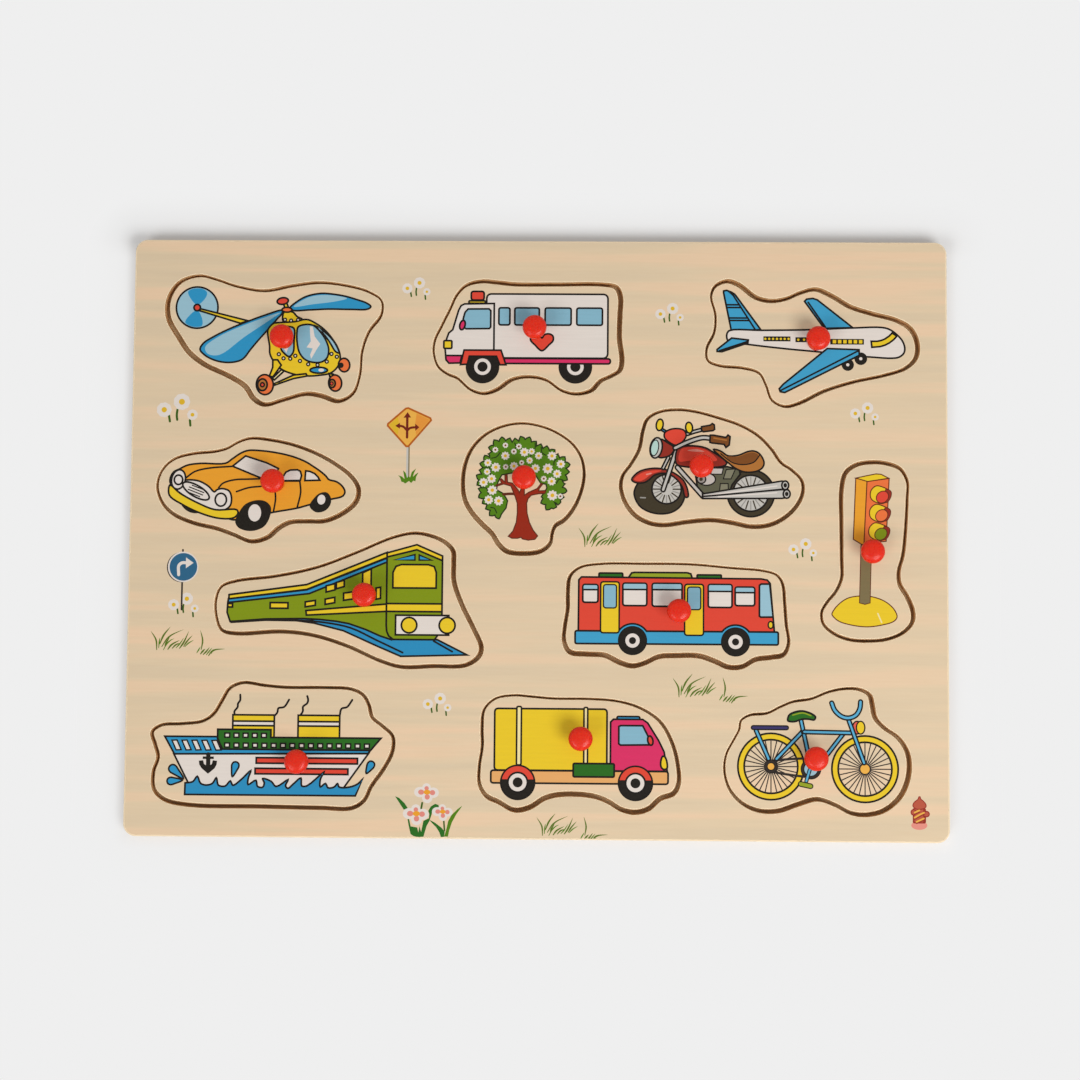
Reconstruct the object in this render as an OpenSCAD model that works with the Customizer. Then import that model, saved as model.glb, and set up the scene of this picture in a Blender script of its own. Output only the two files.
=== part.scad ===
// Peg puzzle of common vehicles: a printed tray board on a thin backing board, with cut-out pieces
// that lie in recesses of their own shape and lift out by a plastic peg.
// The underside of the backing board is at zero height and the board's centre is the origin.
// +X runs to the right of the picture and +Y runs up the picture.

/* [Board] */
// Width of the board, across the picture
board_w = 300; // [285:1:360]
// Height of the board, up the picture
board_h = 220; // [210:1:270]
// Radius of the board's corners
corner_r = 4.5; // [2:0.5:12]
// Thickness of the backing board
backing_t = 3; // [2:0.5:6]
// Thickness of the tray board and of the pieces, with their printed face
tray_t = 5; // [3:0.5:9]
// Thickness of the printed face sheet
print_t = 0.2; // [0.1:0.05:0.4]

/* [Fit of the pieces] */
// Gap all round a piece that lies in the middle of its recess
fit_gap = 1; // [0.7:0.1:1.6]
// Least gap between a resting piece and the wall of its recess
least_gap = 0.35; // [0.3:0.05:0.6]

/* [Pegs] */
// Diameter of the peg's head
head_d = 8.8; // [7.5:0.1:12]
// Height of the head above its widest place
crown_h = 2.6; // [1.5:0.1:5]
// Roundness of the head's crown, 1 for a plain dome and less for a flatter top
crown_round = 0.7; // [0.5:0.05:1]
// Depth of the head below its widest place
under_h = 1.5; // [0.8:0.1:3]
// Diameter of the peg's waist where it is thinnest
waist_d = 4.4; // [3.4:0.1:5.4]
// Height of the waist, from the foot to the head
waist_h = 6; // [4:0.1:9]
// Diameter of the peg's foot
foot_d = 6.6; // [5.6:0.1:7]
// Thickness of the peg's foot
foot_t = 1; // [0.6:0.1:2]
// Diameter of the spigot that is glued into the piece
spigot_d = 3.6; // [2:0.1:4.4]
// Gap for the glue round the spigot
glue_gap = 0.05; // [0.02:0.01:0.1]
// Distance that the spigot ends short of the piece's underside
spigot_short = 0.4; // [0.2:0.1:1]

/* [Vehicles with wings and rotors] */
// Width of the helicopter's cut line
helicopter_w = 80.5; // [74:0.5:90]
// Height of the helicopter's cut line
helicopter_h = 48; // [43:0.5:54]
// Width of the plane's cut line
plane_w = 78.5; // [72:0.5:86]
// Height of the plane's cut line
plane_h = 46.5; // [41:0.5:52]

/* [Vehicles with an engine] */
// Width of the ambulance's cut line
ambulance_w = 70; // [64:0.5:78]
// Height of the ambulance's cut line
ambulance_h = 42; // [37:0.5:48]
// Width of the car's cut line
car_w = 74.5; // [68:0.5:80]
// Height of the car's cut line
car_h = 38.5; // [34:0.5:42]
// Width of the motorcycle's cut line
motorcycle_w = 67; // [60:0.5:72]
// Height of the motorcycle's cut line
motorcycle_h = 43; // [38:0.5:47]
// Width of the bus's cut line
bus_w = 82; // [75:0.5:88]
// Height of the bus's cut line
bus_h = 38; // [34:0.5:42]
// Width of the truck's cut line
truck_w = 73; // [66:0.5:80]
// Height of the truck's cut line
truck_h = 42; // [37:0.5:46]

/* [Train, ship and bicycle] */
// Width of the train's cut line
train_w = 97.5; // [90:0.5:104]
// Height of the train's cut line
train_h = 49; // [44:0.5:53]
// Width of the ship's cut line
ship_w = 88.5; // [80:0.5:96]
// Height of the ship's cut line
ship_h = 45.5; // [40:0.5:49]
// Width of the bicycle's cut line
bicycle_w = 67; // [60:0.5:74]
// Height of the bicycle's cut line
bicycle_h = 45.5; // [40:0.5:49]

/* [Tree and traffic light] */
// Width of the tree's cut line
tree_w = 44.5; // [40:0.5:49]
// Height of the tree's cut line
tree_h = 48; // [43:0.5:52]
// Width of the traffic light's cut line
traffic_light_w = 33.5; // [30:0.5:37]
// Height of the traffic light's cut line
traffic_light_h = 65.5; // [60:0.5:71]

/* [Hidden] */

// Heights of the floor of the recesses, of the wood's top and of the printed face
floor_z = backing_t;
wood_top_z = backing_t + tray_t - print_t;
face_z = backing_t + tray_t;
wood_t = tray_t - print_t;

// Farthest that a piece can slide from the middle of its recess and keep the least gap
play = fit_gap - least_gap;

// Heights on the peg, from the printed face, and the angle where the waist runs into the head
waist_top = foot_t + waist_h;
head_start = -acos(foot_d / head_d);
head_z = waist_top - under_h * sin(head_start);
spigot_l = tray_t - spigot_short;
// Radius of the hollow round the waist, which meets the foot and the head at the foot's diameter
waist_dip = (foot_d - waist_d) / 2;
waist_r = (pow(waist_h / 2, 2) + pow(waist_dip, 2)) / (2 * waist_dip);
waist_turn = asin(waist_h / 2 / waist_r);

// Steps on each stretch of a cut line, on the hollow of the waist, and under and over the head
curve_steps = 6;
waist_steps = 8;
under_steps = 4;
crown_steps = 9;

// Cut lines, as shares of each piece's width and height, counter-clockwise from the top
helicopter_shares = [
    [-0.35, 0.50], [-0.44, 0.45], [-0.49, 0.32], [-0.49, 0.17], [-0.44, 0.02], [-0.39, -0.10],
    [-0.32, -0.19], [-0.20, -0.285], [-0.13, -0.36], [-0.09, -0.455], [-0.04, -0.50], [0.05, -0.46],
    [0.15, -0.415], [0.22, -0.43], [0.30, -0.47], [0.365, -0.41], [0.395, -0.27], [0.405, -0.08],
    [0.435, 0.07], [0.49, 0.20], [0.49, 0.31], [0.43, 0.38], [0.32, 0.43], [0.20, 0.45],
    [0.08, 0.425], [-0.05, 0.385], [-0.18, 0.42], [-0.27, 0.47]];
ambulance_shares = [
    [-0.245, 0.50], [-0.325, 0.465], [-0.375, 0.38], [-0.41, 0.255], [-0.455, 0.10], [-0.49, -0.03],
    [-0.495, -0.14], [-0.47, -0.26], [-0.42, -0.325], [-0.37, -0.36], [-0.30, -0.46], [-0.23, -0.495],
    [-0.16, -0.46], [-0.08, -0.37], [0.01, -0.345], [0.10, -0.375], [0.18, -0.465], [0.255, -0.495],
    [0.335, -0.465], [0.385, -0.38], [0.44, -0.335], [0.485, -0.285], [0.497, -0.20], [0.483, 0],
    [0.485, 0.20], [0.487, 0.37], [0.465, 0.45], [0.40, 0.475], [0.15, 0.475], [-0.07, 0.475],
    [-0.16, 0.49]];
plane_shares = [
    [-0.395, 0.50], [-0.45, 0.46], [-0.47, 0.38], [-0.45, 0.23], [-0.455, 0.09], [-0.49, -0.04],
    [-0.485, -0.135], [-0.43, -0.177], [-0.32, -0.195], [-0.245, -0.235], [-0.213, -0.33],
    [-0.185, -0.45], [-0.125, -0.50], [-0.06, -0.475], [0.06, -0.375], [0.20, -0.30], [0.34, -0.248],
    [0.44, -0.19], [0.487, -0.11], [0.495, 0], [0.465, 0.12], [0.40, 0.19], [0.28, 0.245],
    [0.18, 0.30], [0.10, 0.38], [0.02, 0.437], [-0.05, 0.41], [-0.12, 0.36], [-0.19, 0.343],
    [-0.26, 0.37], [-0.34, 0.47]];
car_shares = [
    [-0.04, 0.50], [-0.10, 0.465], [-0.16, 0.40], [-0.22, 0.37], [-0.32, 0.35], [-0.42, 0.295],
    [-0.48, 0.18], [-0.50, 0.03], [-0.475, -0.12], [-0.42, -0.23], [-0.32, -0.315], [-0.20, -0.37],
    [-0.12, -0.425], [-0.03, -0.49], [0.05, -0.45], [0.105, -0.36], [0.16, -0.305], [0.24, -0.295],
    [0.33, -0.29], [0.42, -0.215], [0.485, -0.10], [0.495, 0.02], [0.46, 0.135], [0.38, 0.255],
    [0.28, 0.36], [0.17, 0.438], [0.06, 0.483]];
tree_shares = [
    [-0.03, 0.50], [-0.18, 0.475], [-0.32, 0.41], [-0.43, 0.30], [-0.485, 0.17], [-0.50, 0.04],
    [-0.485, -0.08], [-0.43, -0.18], [-0.34, -0.275], [-0.255, -0.35], [-0.20, -0.43],
    [-0.13, -0.485], [0.02, -0.50], [0.15, -0.48], [0.225, -0.42], [0.24, -0.345], [0.265, -0.287],
    [0.34, -0.24], [0.42, -0.145], [0.48, -0.01], [0.50, 0.12], [0.475, 0.24], [0.40, 0.345],
    [0.26, 0.435], [0.12, 0.483]];
motorcycle_shares = [
    [-0.19, 0.50], [-0.29, 0.48], [-0.355, 0.42], [-0.38, 0.32], [-0.40, 0.16], [-0.445, 0.03],
    [-0.49, -0.07], [-0.50, -0.17], [-0.475, -0.30], [-0.42, -0.41], [-0.34, -0.475], [-0.26, -0.49],
    [-0.14, -0.463], [-0.01, -0.445], [0.10, -0.465], [0.22, -0.50], [0.33, -0.475], [0.43, -0.375],
    [0.49, -0.23], [0.49, -0.11], [0.435, -0.015], [0.375, 0.05], [0.325, 0.16], [0.25, 0.28],
    [0.15, 0.37], [0.03, 0.433], [-0.09, 0.483]];
traffic_light_shares = [
    [0.06, 0.50], [-0.12, 0.485], [-0.24, 0.44], [-0.285, 0.35], [-0.285, 0.15], [-0.28, -0.05],
    [-0.28, -0.15], [-0.34, -0.225], [-0.44, -0.29], [-0.495, -0.345], [-0.475, -0.41],
    [-0.35, -0.465], [-0.18, -0.495], [0.02, -0.50], [0.22, -0.488], [0.39, -0.45], [0.485, -0.395],
    [0.495, -0.335], [0.43, -0.25], [0.35, -0.18], [0.34, -0.11], [0.385, -0.02], [0.41, 0.10],
    [0.43, 0.30], [0.43, 0.395], [0.35, 0.465], [0.21, 0.493]];
train_shares = [
    [0.24, 0.50], [0.16, 0.465], [0.03, 0.355], [-0.12, 0.24], [-0.28, 0.17], [-0.42, 0.135],
    [-0.48, 0.09], [-0.50, -0.01], [-0.495, -0.15], [-0.475, -0.235], [-0.42, -0.26], [-0.25, -0.243],
    [-0.13, -0.27], [0, -0.35], [0.12, -0.455], [0.20, -0.50], [0.32, -0.493], [0.44, -0.485],
    [0.49, -0.42], [0.50, -0.35], [0.47, -0.21], [0.425, -0.03], [0.395, 0.14], [0.393, 0.28],
    [0.39, 0.37], [0.355, 0.44], [0.295, 0.487]];
bus_shares = [
    [-0.33, 0.50], [-0.43, 0.465], [-0.475, 0.38], [-0.485, 0.22], [-0.485, 0.07], [-0.497, -0.10],
    [-0.50, -0.25], [-0.475, -0.35], [-0.40, -0.37], [-0.32, -0.38], [-0.25, -0.45], [-0.195, -0.48],
    [-0.14, -0.45], [-0.08, -0.39], [0, -0.378], [0.10, -0.38], [0.17, -0.43], [0.23, -0.485],
    [0.29, -0.48], [0.35, -0.41], [0.42, -0.388], [0.475, -0.36], [0.497, -0.25], [0.487, -0.08],
    [0.48, 0.12], [0.47, 0.32], [0.445, 0.40], [0.39, 0.44], [0.24, 0.468], [0.06, 0.50],
    [-0.15, 0.503]];
ship_shares = [
    [-0.125, 0.50], [-0.18, 0.455], [-0.21, 0.36], [-0.245, 0.25], [-0.29, 0.19], [-0.38, 0.167],
    [-0.46, 0.155], [-0.498, 0.10], [-0.485, 0], [-0.472, -0.10], [-0.49, -0.22], [-0.485, -0.36],
    [-0.44, -0.44], [-0.34, -0.48], [-0.05, -0.488], [0.20, -0.495], [0.33, -0.495], [0.38, -0.435],
    [0.41, -0.32], [0.46, -0.18], [0.495, -0.04], [0.495, 0.08], [0.45, 0.165], [0.41, 0.23],
    [0.395, 0.33], [0.37, 0.41], [0.32, 0.455], [0.22, 0.465], [0.05, 0.465], [-0.04, 0.48]];
truck_shares = [
    [-0.33, 0.50], [-0.42, 0.47], [-0.475, 0.375], [-0.485, 0.22], [-0.483, 0.06], [-0.497, -0.12],
    [-0.495, -0.27], [-0.46, -0.37], [-0.40, -0.42], [-0.32, -0.49], [-0.245, -0.465], [-0.17, -0.385],
    [-0.09, -0.352], [0.06, -0.36], [0.14, -0.405], [0.215, -0.48], [0.28, -0.50], [0.345, -0.47],
    [0.405, -0.38], [0.47, -0.335], [0.495, -0.25], [0.49, -0.08], [0.46, 0.11], [0.40, 0.285],
    [0.30, 0.40], [0.19, 0.455], [0.06, 0.473], [-0.13, 0.475], [-0.24, 0.49]];
bicycle_shares = [
    [0.15, 0.50], [0.06, 0.472], [-0.03, 0.418], [-0.13, 0.393], [-0.20, 0.35], [-0.27, 0.30],
    [-0.36, 0.285], [-0.41, 0.24], [-0.42, 0.17], [-0.45, 0.085], [-0.49, -0.03], [-0.50, -0.16],
    [-0.47, -0.31], [-0.40, -0.42], [-0.31, -0.475], [-0.21, -0.475], [-0.11, -0.425], [0, -0.38],
    [0.10, -0.425], [0.18, -0.485], [0.26, -0.50], [0.36, -0.465], [0.45, -0.35], [0.495, -0.18],
    [0.49, -0.01], [0.44, 0.11], [0.36, 0.195], [0.315, 0.27], [0.30, 0.37], [0.285, 0.45],
    [0.23, 0.495]];

// Each piece: its name, its size, its cut line, the place of its recess as shares of the board,
// the place of its peg as shares of its size, where it has slid to as shares of the play,
// and the share of the play that its turn in the recess takes up at its ends
PIECES_shares = [
    ["helicopter", [helicopter_w, helicopter_h], helicopter_shares,
        [-0.327, 0.329], [0.042, 0], [0.8, 0.45], 0],
    ["ambulance", [ambulance_w, ambulance_h], ambulance_shares,
        [-0.013, 0.336], [0.042, 0.065], [-0.85, -0.2], 0],
    ["plane", [plane_w, plane_h], plane_shares,
        [0.335, 0.328], [0.026, 0.02], [-0.75, -0.35], 0],
    ["car", [car_w, car_h], car_shares,
        [-0.342, 0.0755], [0.086, 0.066], [-0.7, 0.4], 0],
    ["tree", [tree_w, tree_h], tree_shares,
        [-0.018, 0.081], [0.006, 0.062], [0.3, 0.7], 0],
    ["motorcycle", [motorcycle_w, motorcycle_h], motorcycle_shares,
        [0.213, 0.117], [-0.065, -0.004], [0.1, 0.5], 0],
    ["traffic_light", [traffic_light_w, traffic_light_h], traffic_light_shares,
        [0.402, -0.0195], [0.03, -0.009], [0, -0.2], -0.7],
    ["train", [train_w, train_h], train_shares,
        [-0.229, -0.106], [0.067, 0.024], [-0.7, 0.2], 0],
    ["bus", [bus_w, bus_h], bus_shares,
        [0.17, -0.131], [0.006, 0.033], [0.2, 0.8], 0],
    ["ship", [ship_w, ship_h], ship_shares,
        [-0.32, -0.349], [0.11, -0.13], [0, 0.3], 0],
    ["truck", [truck_w, truck_h], truck_shares,
        [0.053, -0.3595], [0.008, 0.122], [-0.3, 0.8], 0],
    ["bicycle", [bicycle_w, bicycle_h], bicycle_shares,
        [0.341, -0.352], [-0.01, -0.062], [-0.8, 0.45], 0]];
function piece_name(p) = p[0];
function piece_size(p) = p[1];
function outline_shares(p) = p[2];
function place_shares(p) = p[3];
function peg_shares(p) = p[4];
function slide_shares(p) = p[5];
function turn_share(p) = p[6];

// A share pair of a size pair, such as a width and a height
function shares_of(shares, size) = [shares.x * size.x, shares.y * size.y];

// Place of a piece's recess on the board, of the piece's middle at rest, and of the peg on the piece
function recess_place(p) = shares_of(place_shares(p), [board_w, board_h]);
function rest_place(p) = recess_place(p) + play * slide_shares(p);
function peg_place(p) = shares_of(peg_shares(p), piece_size(p));

// Angle that a piece has turned in its recess
function rest_turn(p) = turn_share(p) * asin(2 * play / max(piece_size(p)));

// Step of the curve's parameter from one point to the next, which keeps tight corners free of loops
function knot_step(from, to) = sqrt(norm(to - from));

// Point at parameter t, from 0 to 1, on the smooth curve from b to c between its neighbours a and d
function curve_point(a, b, c, d, t) =
    let (ab = knot_step(a, b))
    let (bc = knot_step(b, c))
    let (cd = knot_step(c, d))
    let (leave = c - b + bc * ((b - a) / ab - (c - a) / (ab + bc)))
    let (arrive = c - b + bc * ((d - c) / cd - (d - b) / (bc + cd)))
    let (square_term = 3 * (c - b) - 2 * leave - arrive)
    let (cube_term = leave + arrive - 2 * (c - b))
    b + t * leave + pow(t, 2) * square_term + pow(t, 3) * cube_term;

// Smooth closed curve through the points of a ring
function smooth_ring(ring) =
    let (count = len(ring))
    [for (i = [0 : count - 1])
        for (s = [0 : curve_steps - 1])
            curve_point(
                ring[(i + count - 1) % count], ring[i],
                ring[(i + 1) % count], ring[(i + 2) % count], s / curve_steps)];

// Ring moved outward along its normals, or inward where the distance is negative
function offset_ring(ring, distance) =
    let (count = len(ring))
    [for (i = [0 : count - 1])
        let (along = ring[(i + 1) % count] - ring[(i + count - 1) % count])
        ring[i] + distance * [along.y, -along.x] / norm(along)];

// The line midway between a piece and its recess, about the middle of the recess
function cut_line(p) =
    smooth_ring([for (share = outline_shares(p)) shares_of(share, piece_size(p))]);

module recess_shape(p) {
    polygon(offset_ring(cut_line(p), fit_gap / 2));
}

// A piece seen from above, with the hole for its peg's spigot
module piece_shape(p) {
    difference() {
        polygon(offset_ring(cut_line(p), -fit_gap / 2));
        translate(peg_place(p)) circle(d = spigot_d + 2 * glue_gap);
    }
}

// Moves what is drawn about a piece's middle to where the piece lies in its recess
module at_rest(p) {
    translate(rest_place(p)) rotate(rest_turn(p)) children();
}

module board_shape() {
    inner = [board_w - 2 * corner_r, board_h - 2 * corner_r];
    square([inner.x, board_h], center = true);
    square([board_w, inner.y], center = true);
    for (side_x = [-1, 1], side_y = [-1, 1]) {
        translate([side_x * inner.x / 2, side_y * inner.y / 2]) circle(r = corner_r);
    }
}

// The board seen from above, with all its recesses cut through
module tray_shape() {
    difference() {
        board_shape();
        for (p = PIECES_shares) {
            translate(recess_place(p)) recess_shape(p);
        }
    }
}

module backing_board() {
    color("tan") linear_extrude(backing_t) board_shape();
}

module tray_board() {
    color("peru") translate([0, 0, floor_z]) linear_extrude(wood_t) tray_shape();
}

module tray_print() {
    color("wheat") translate([0, 0, wood_top_z]) linear_extrude(print_t) tray_shape();
}

module piece(p) {
    color("peru") at_rest(p) translate([0, 0, floor_z]) linear_extrude(wood_t) piece_shape(p);
}

module piece_print(p) {
    color("wheat") at_rest(p) translate([0, 0, wood_top_z]) linear_extrude(print_t) piece_shape(p);
}

// Half of the peg's outline, from the end of the spigot up to the crown of the head
function peg_profile() = concat(
    [[0, -spigot_l], [spigot_d / 2, -spigot_l], [spigot_d / 2, 0], [foot_d / 2, 0]],
    [for (s = [0 : waist_steps])
        let (turn = waist_turn * (2 * s / waist_steps - 1))
        [waist_d / 2 + waist_r * (1 - cos(turn)), foot_t + waist_h / 2 + waist_r * sin(turn)]],
    [for (s = [1 : under_steps])
        let (turn = head_start * (1 - s / under_steps))
        [head_d / 2 * cos(turn), head_z + under_h * sin(turn)]],
    [for (s = [1 : crown_steps])
        let (turn = 90 * s / crown_steps)
        [head_d / 2 * pow(cos(turn), crown_round), head_z + crown_h * pow(sin(turn), crown_round)]]);

module peg(p) {
    color("red") at_rest(p) translate(concat(peg_place(p), [face_z])) rotate_extrude($fn = 48) {
        polygon(peg_profile());
    }
}

backing_board();
tray_board();
tray_print();
for (p = PIECES_shares) {
    piece(p);
    piece_print(p);
    peg(p);
}
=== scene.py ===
"""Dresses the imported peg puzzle: a printed wooden tray with twelve lift-out pegged pieces.

The frame is in metres. Drawings are made in millimetres on the board's top face.
"""
import logging
import math
from dataclasses import dataclass, field
from enum import Enum

import bpy
import numpy as np
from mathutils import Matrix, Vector
from mathutils.geometry import delaunay_2d_cdt


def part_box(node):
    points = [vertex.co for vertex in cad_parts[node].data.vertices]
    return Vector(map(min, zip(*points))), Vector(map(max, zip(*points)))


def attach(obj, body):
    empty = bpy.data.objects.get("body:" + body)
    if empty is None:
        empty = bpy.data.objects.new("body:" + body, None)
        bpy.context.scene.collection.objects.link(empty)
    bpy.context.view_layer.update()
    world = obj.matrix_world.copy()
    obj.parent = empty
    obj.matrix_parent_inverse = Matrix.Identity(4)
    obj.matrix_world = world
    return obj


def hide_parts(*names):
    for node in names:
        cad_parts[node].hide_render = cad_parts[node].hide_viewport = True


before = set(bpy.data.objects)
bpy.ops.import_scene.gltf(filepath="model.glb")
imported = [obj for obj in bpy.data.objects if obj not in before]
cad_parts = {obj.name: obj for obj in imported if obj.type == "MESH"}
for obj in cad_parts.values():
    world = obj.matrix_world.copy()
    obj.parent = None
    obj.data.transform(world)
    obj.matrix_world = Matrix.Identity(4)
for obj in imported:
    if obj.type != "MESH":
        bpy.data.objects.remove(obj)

Point = tuple[float, float]
Span = tuple[float, float]
Place = tuple[float, float, float]
Tint = tuple[float, float, float, float]
Face = tuple[int, ...]
Array = np.ndarray
Material = bpy.types.Material
Socket = bpy.types.NodeSocket

LOG = logging.getLogger("peg_puzzle")
# One millimetre in the frame's metres
MM = 0.001
# Half the board's width and height in metres
BOARD: Point = (0.15, 0.11)
# The least length that a direction is divided by
TINY = 1e-9
# How near two points are taken for one, in millimetres and in decimals of a millimetre
SAME = 1e-4
DECIMALS = 4
# The shares that most of a noise lies between
NOISE: Span = (0.3, 0.7)
# The height of a unit normal above which a face is flat and not a wall
UPRIGHT = 0.6
# The colour of the backdrop
PALE = 0xEFEFEF
# The parts of the grid that a drawing is made on
GRID = 100


class Ink(Enum):
    """The printing inks as sRGB numbers. BARE lets the printed wood grain show."""

    BARE = 0
    LINE = 0x0E0907
    BLACK = 0x16120D
    WHITE = 0xDDD3CA
    CREAM = 0xEADAA0
    SKY = 0x2A8EBC
    AZURE = 0x3C9AC2
    POWDER = 0x56A8CC
    POOL = 0x2888B6
    PALE = 0x94BAC8
    GLASS = 0x82B0C2
    MINT = 0xB0CEC4
    SUN = 0xE3C126
    HONEY = 0xD8AE2A
    GOLD = 0xE39A2A
    AMBER = 0xE4AA48
    RED = 0xD84432
    BRICK = 0x8E2A1E
    ROSE = 0xDC8A7C
    BLUSH = 0xD88478
    MAGENTA = 0xD22E60
    LEAF = 0x4E7A0E
    FOREST = 0x24641A
    MOSS = 0x1A2C08
    GRASS = 0x566C1C
    STALK = 0x365810
    LIME = 0x8E9C22
    OLIVE = 0x7C8E0E
    SAGE = 0x5A5A46
    ORANGE = 0xE4703A
    CORAL = 0xDA5C4A
    PEACH = 0xDFA464
    NAVY = 0x363060
    BROWN = 0x78461C
    TAN = 0xAA6C30
    TRUNK = 0x90240E
    UMBER = 0x5A2410
    RUST = 0xB05A16
    APRICOT = 0xDE9038
    MAROON = 0x6C1C0C
    POST = 0x786A48
    TYRE = 0x3A3222
    STEEL = 0xBEBAB2
    GREY = 0x94908A
    PEWTER = 0x7C7A64
    SPOKE = 0x2A2320
    SIGN = 0x2A5F80
    # Painted highlight: a pale cream, lighter than the print's ground, for the eased edges that catch the
    # light
    EDGE_HIGHLIGHT = 0xEAD4B2
    CLAY = 0xB2523C
    SCORCH = 0x94663A
    CORE = 0xA87C50

    def linear(self) -> Tint:
        """This ink as linear red, green and blue, and how far it covers the grain."""
        return (*linear(self.value), 0.0 if self is Ink.BARE else 1.0)


def linear(colour: int) -> tuple[float, float, float]:
    """Turns an sRGB number into linear light.

    Args:
        colour: the colour, as 0xRRGGBB.

    Returns:
        Linear red, green and blue.
    """
    parts = [(colour >> shift & 255) / 255 for shift in (16, 8, 0)]
    red, green, blue = (c / 12.92 if c < 0.04 else ((c + 0.055) / 1.055) ** 2.4 for c in parts)
    return red, green, blue


def mitred(ring: Array, by: float, blunt: float = 0.25) -> Array:
    """Moves a closed ring to its right-hand side, with mitred corners.

    Args:
        ring: its points in order.
        by: how far its edges move.
        blunt: keeps sharp corners from running far out, the more the larger it is.

    Returns:
        The moved points.
    """
    ahead = np.roll(ring, -1, 0) - ring
    ahead = ahead / np.maximum(np.linalg.norm(ahead, axis=1, keepdims=True), TINY)
    both = ahead + np.roll(ahead, 1, 0)
    reach = 2 * by / np.maximum((both**2).sum(1, keepdims=True), blunt)
    return ring + reach * np.stack([both[:, 1], -both[:, 0]], 1)


def grown(ring: Array, by: float) -> Array:
    """Moves a closed ring's edges outwards, whichever way round it runs.

    Args:
        ring: its points in order.
        by: how far, negative to shrink it.

    Returns:
        The moved points.
    """
    after = np.roll(ring, -1, 0)
    turn = (ring[:, 0] * after[:, 1] - ring[:, 1] * after[:, 0]).sum()
    return mitred(ring, by if turn > 0 else -by)


def headings(run: Array) -> tuple[Array, Array]:
    """Finds which way a run goes at each of its points.

    Args:
        run: its points in order.

    Returns:
        For each point, one step ahead and one step to the left, both of length one.
    """
    ahead = np.gradient(run, axis=0)
    ahead /= np.maximum(np.linalg.norm(ahead, axis=1, keepdims=True), TINY)
    return ahead, np.stack([-ahead[:, 1], ahead[:, 0]], 1)


def curve(points: Array, closed: bool, steps: int = 5) -> Array:
    """Runs a centripetal Catmull-Rom curve through points.

    Args:
        points: the points to pass through.
        closed: whether the curve comes back to its start.
        steps: pieces to each span.

    Returns:
        Points along the curve.
    """
    count = len(points)
    if closed:
        ring = np.vstack([points[-1:], points, points[:2]])
    else:
        ring = np.vstack([2 * points[:1] - points[1:2], points, 2 * points[-1:] - points[-2:-1]])
    found = []
    for i in range(count if closed else count - 1):
        a, b, c, d = ring[i : i + 4]
        ab, bc, cd = (max(np.linalg.norm(q - p), TINY) ** 0.5 for p, q in ((a, b), (b, c), (c, d)))
        left = c - b + bc * ((b - a) / ab - (c - a) / (ab + bc))
        right = c - b + bc * ((d - c) / cd - (d - b) / (bc + cd))
        bend = 3 * (c - b) - 2 * left - right
        twist = left + right - 2 * (c - b)
        for t in np.arange(steps) / steps:
            found.append(b + t * left + t**2 * bend + t**3 * twist)
    return np.array(found if closed else [*found, points[-1]])


def covers(ring: Array, spots: Array) -> Array:
    """Tells which spots a ring winds around.

    Args:
        ring: its points in order.
        spots: the places to test.

    Returns:
        One truth value for each spot.
    """
    found = np.zeros(len(spots), bool)
    low, high = ring.min(0), ring.max(0)
    near = np.flatnonzero(((spots >= low) & (spots <= high)).all(1))
    if not len(near):
        return found
    x, y = spots[near, 0][:, None], spots[near, 1][:, None]
    ax, ay = ring.T
    bx, by = np.roll(ring, -1, 0).T
    side = (bx - ax) * (y - ay) - (x - ax) * (by - ay)
    up = (ay <= y) & (by > y) & (side > 0)
    down = (ay > y) & (by <= y) & (side < 0)
    found[near] = up.sum(1) != down.sum(1)
    return found


def triangles(rings: list[Array]) -> tuple[Array, Array]:
    """Splits the plane into triangles that no ring crosses.

    Args:
        rings: closed rings, which may cross each other.

    Returns:
        The corners, and three corner numbers for each triangle, all running anticlockwise.
    """
    spots, edges = [], []
    for ring in rings:
        first = len(spots)
        spots += [Vector(p) for p in ring]
        edges += [(first + i, first + (i + 1) % len(ring)) for i in range(len(ring))]
    corners, _, faces, *_ = delaunay_2d_cdt(spots, edges, [], 0, SAME, False)
    corners, faces = np.array([tuple(c) for c in corners]), np.array(faces)
    a, b, c = (corners[faces[:, k]] for k in range(3))
    turn = (b[:, 0] - a[:, 0]) * (c[:, 1] - a[:, 1]) - (b[:, 1] - a[:, 1]) * (c[:, 0] - a[:, 0])
    return corners, np.where(turn[:, None] > 0, faces, faces[:, ::-1])


def loops_of(after: dict[int, int]) -> list[list[int]]:
    """Follows edges round into loops.

    Args:
        after: the point that follows each point.

    Returns:
        The loops, each as its points in order.
    """
    left, found = dict(after), []
    while left:
        start = min(left)
        loop, here = [start], left.pop(start)
        while here != start:
            loop.append(here)
            here = left.pop(here)
        found.append(loop)
    return found


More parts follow.
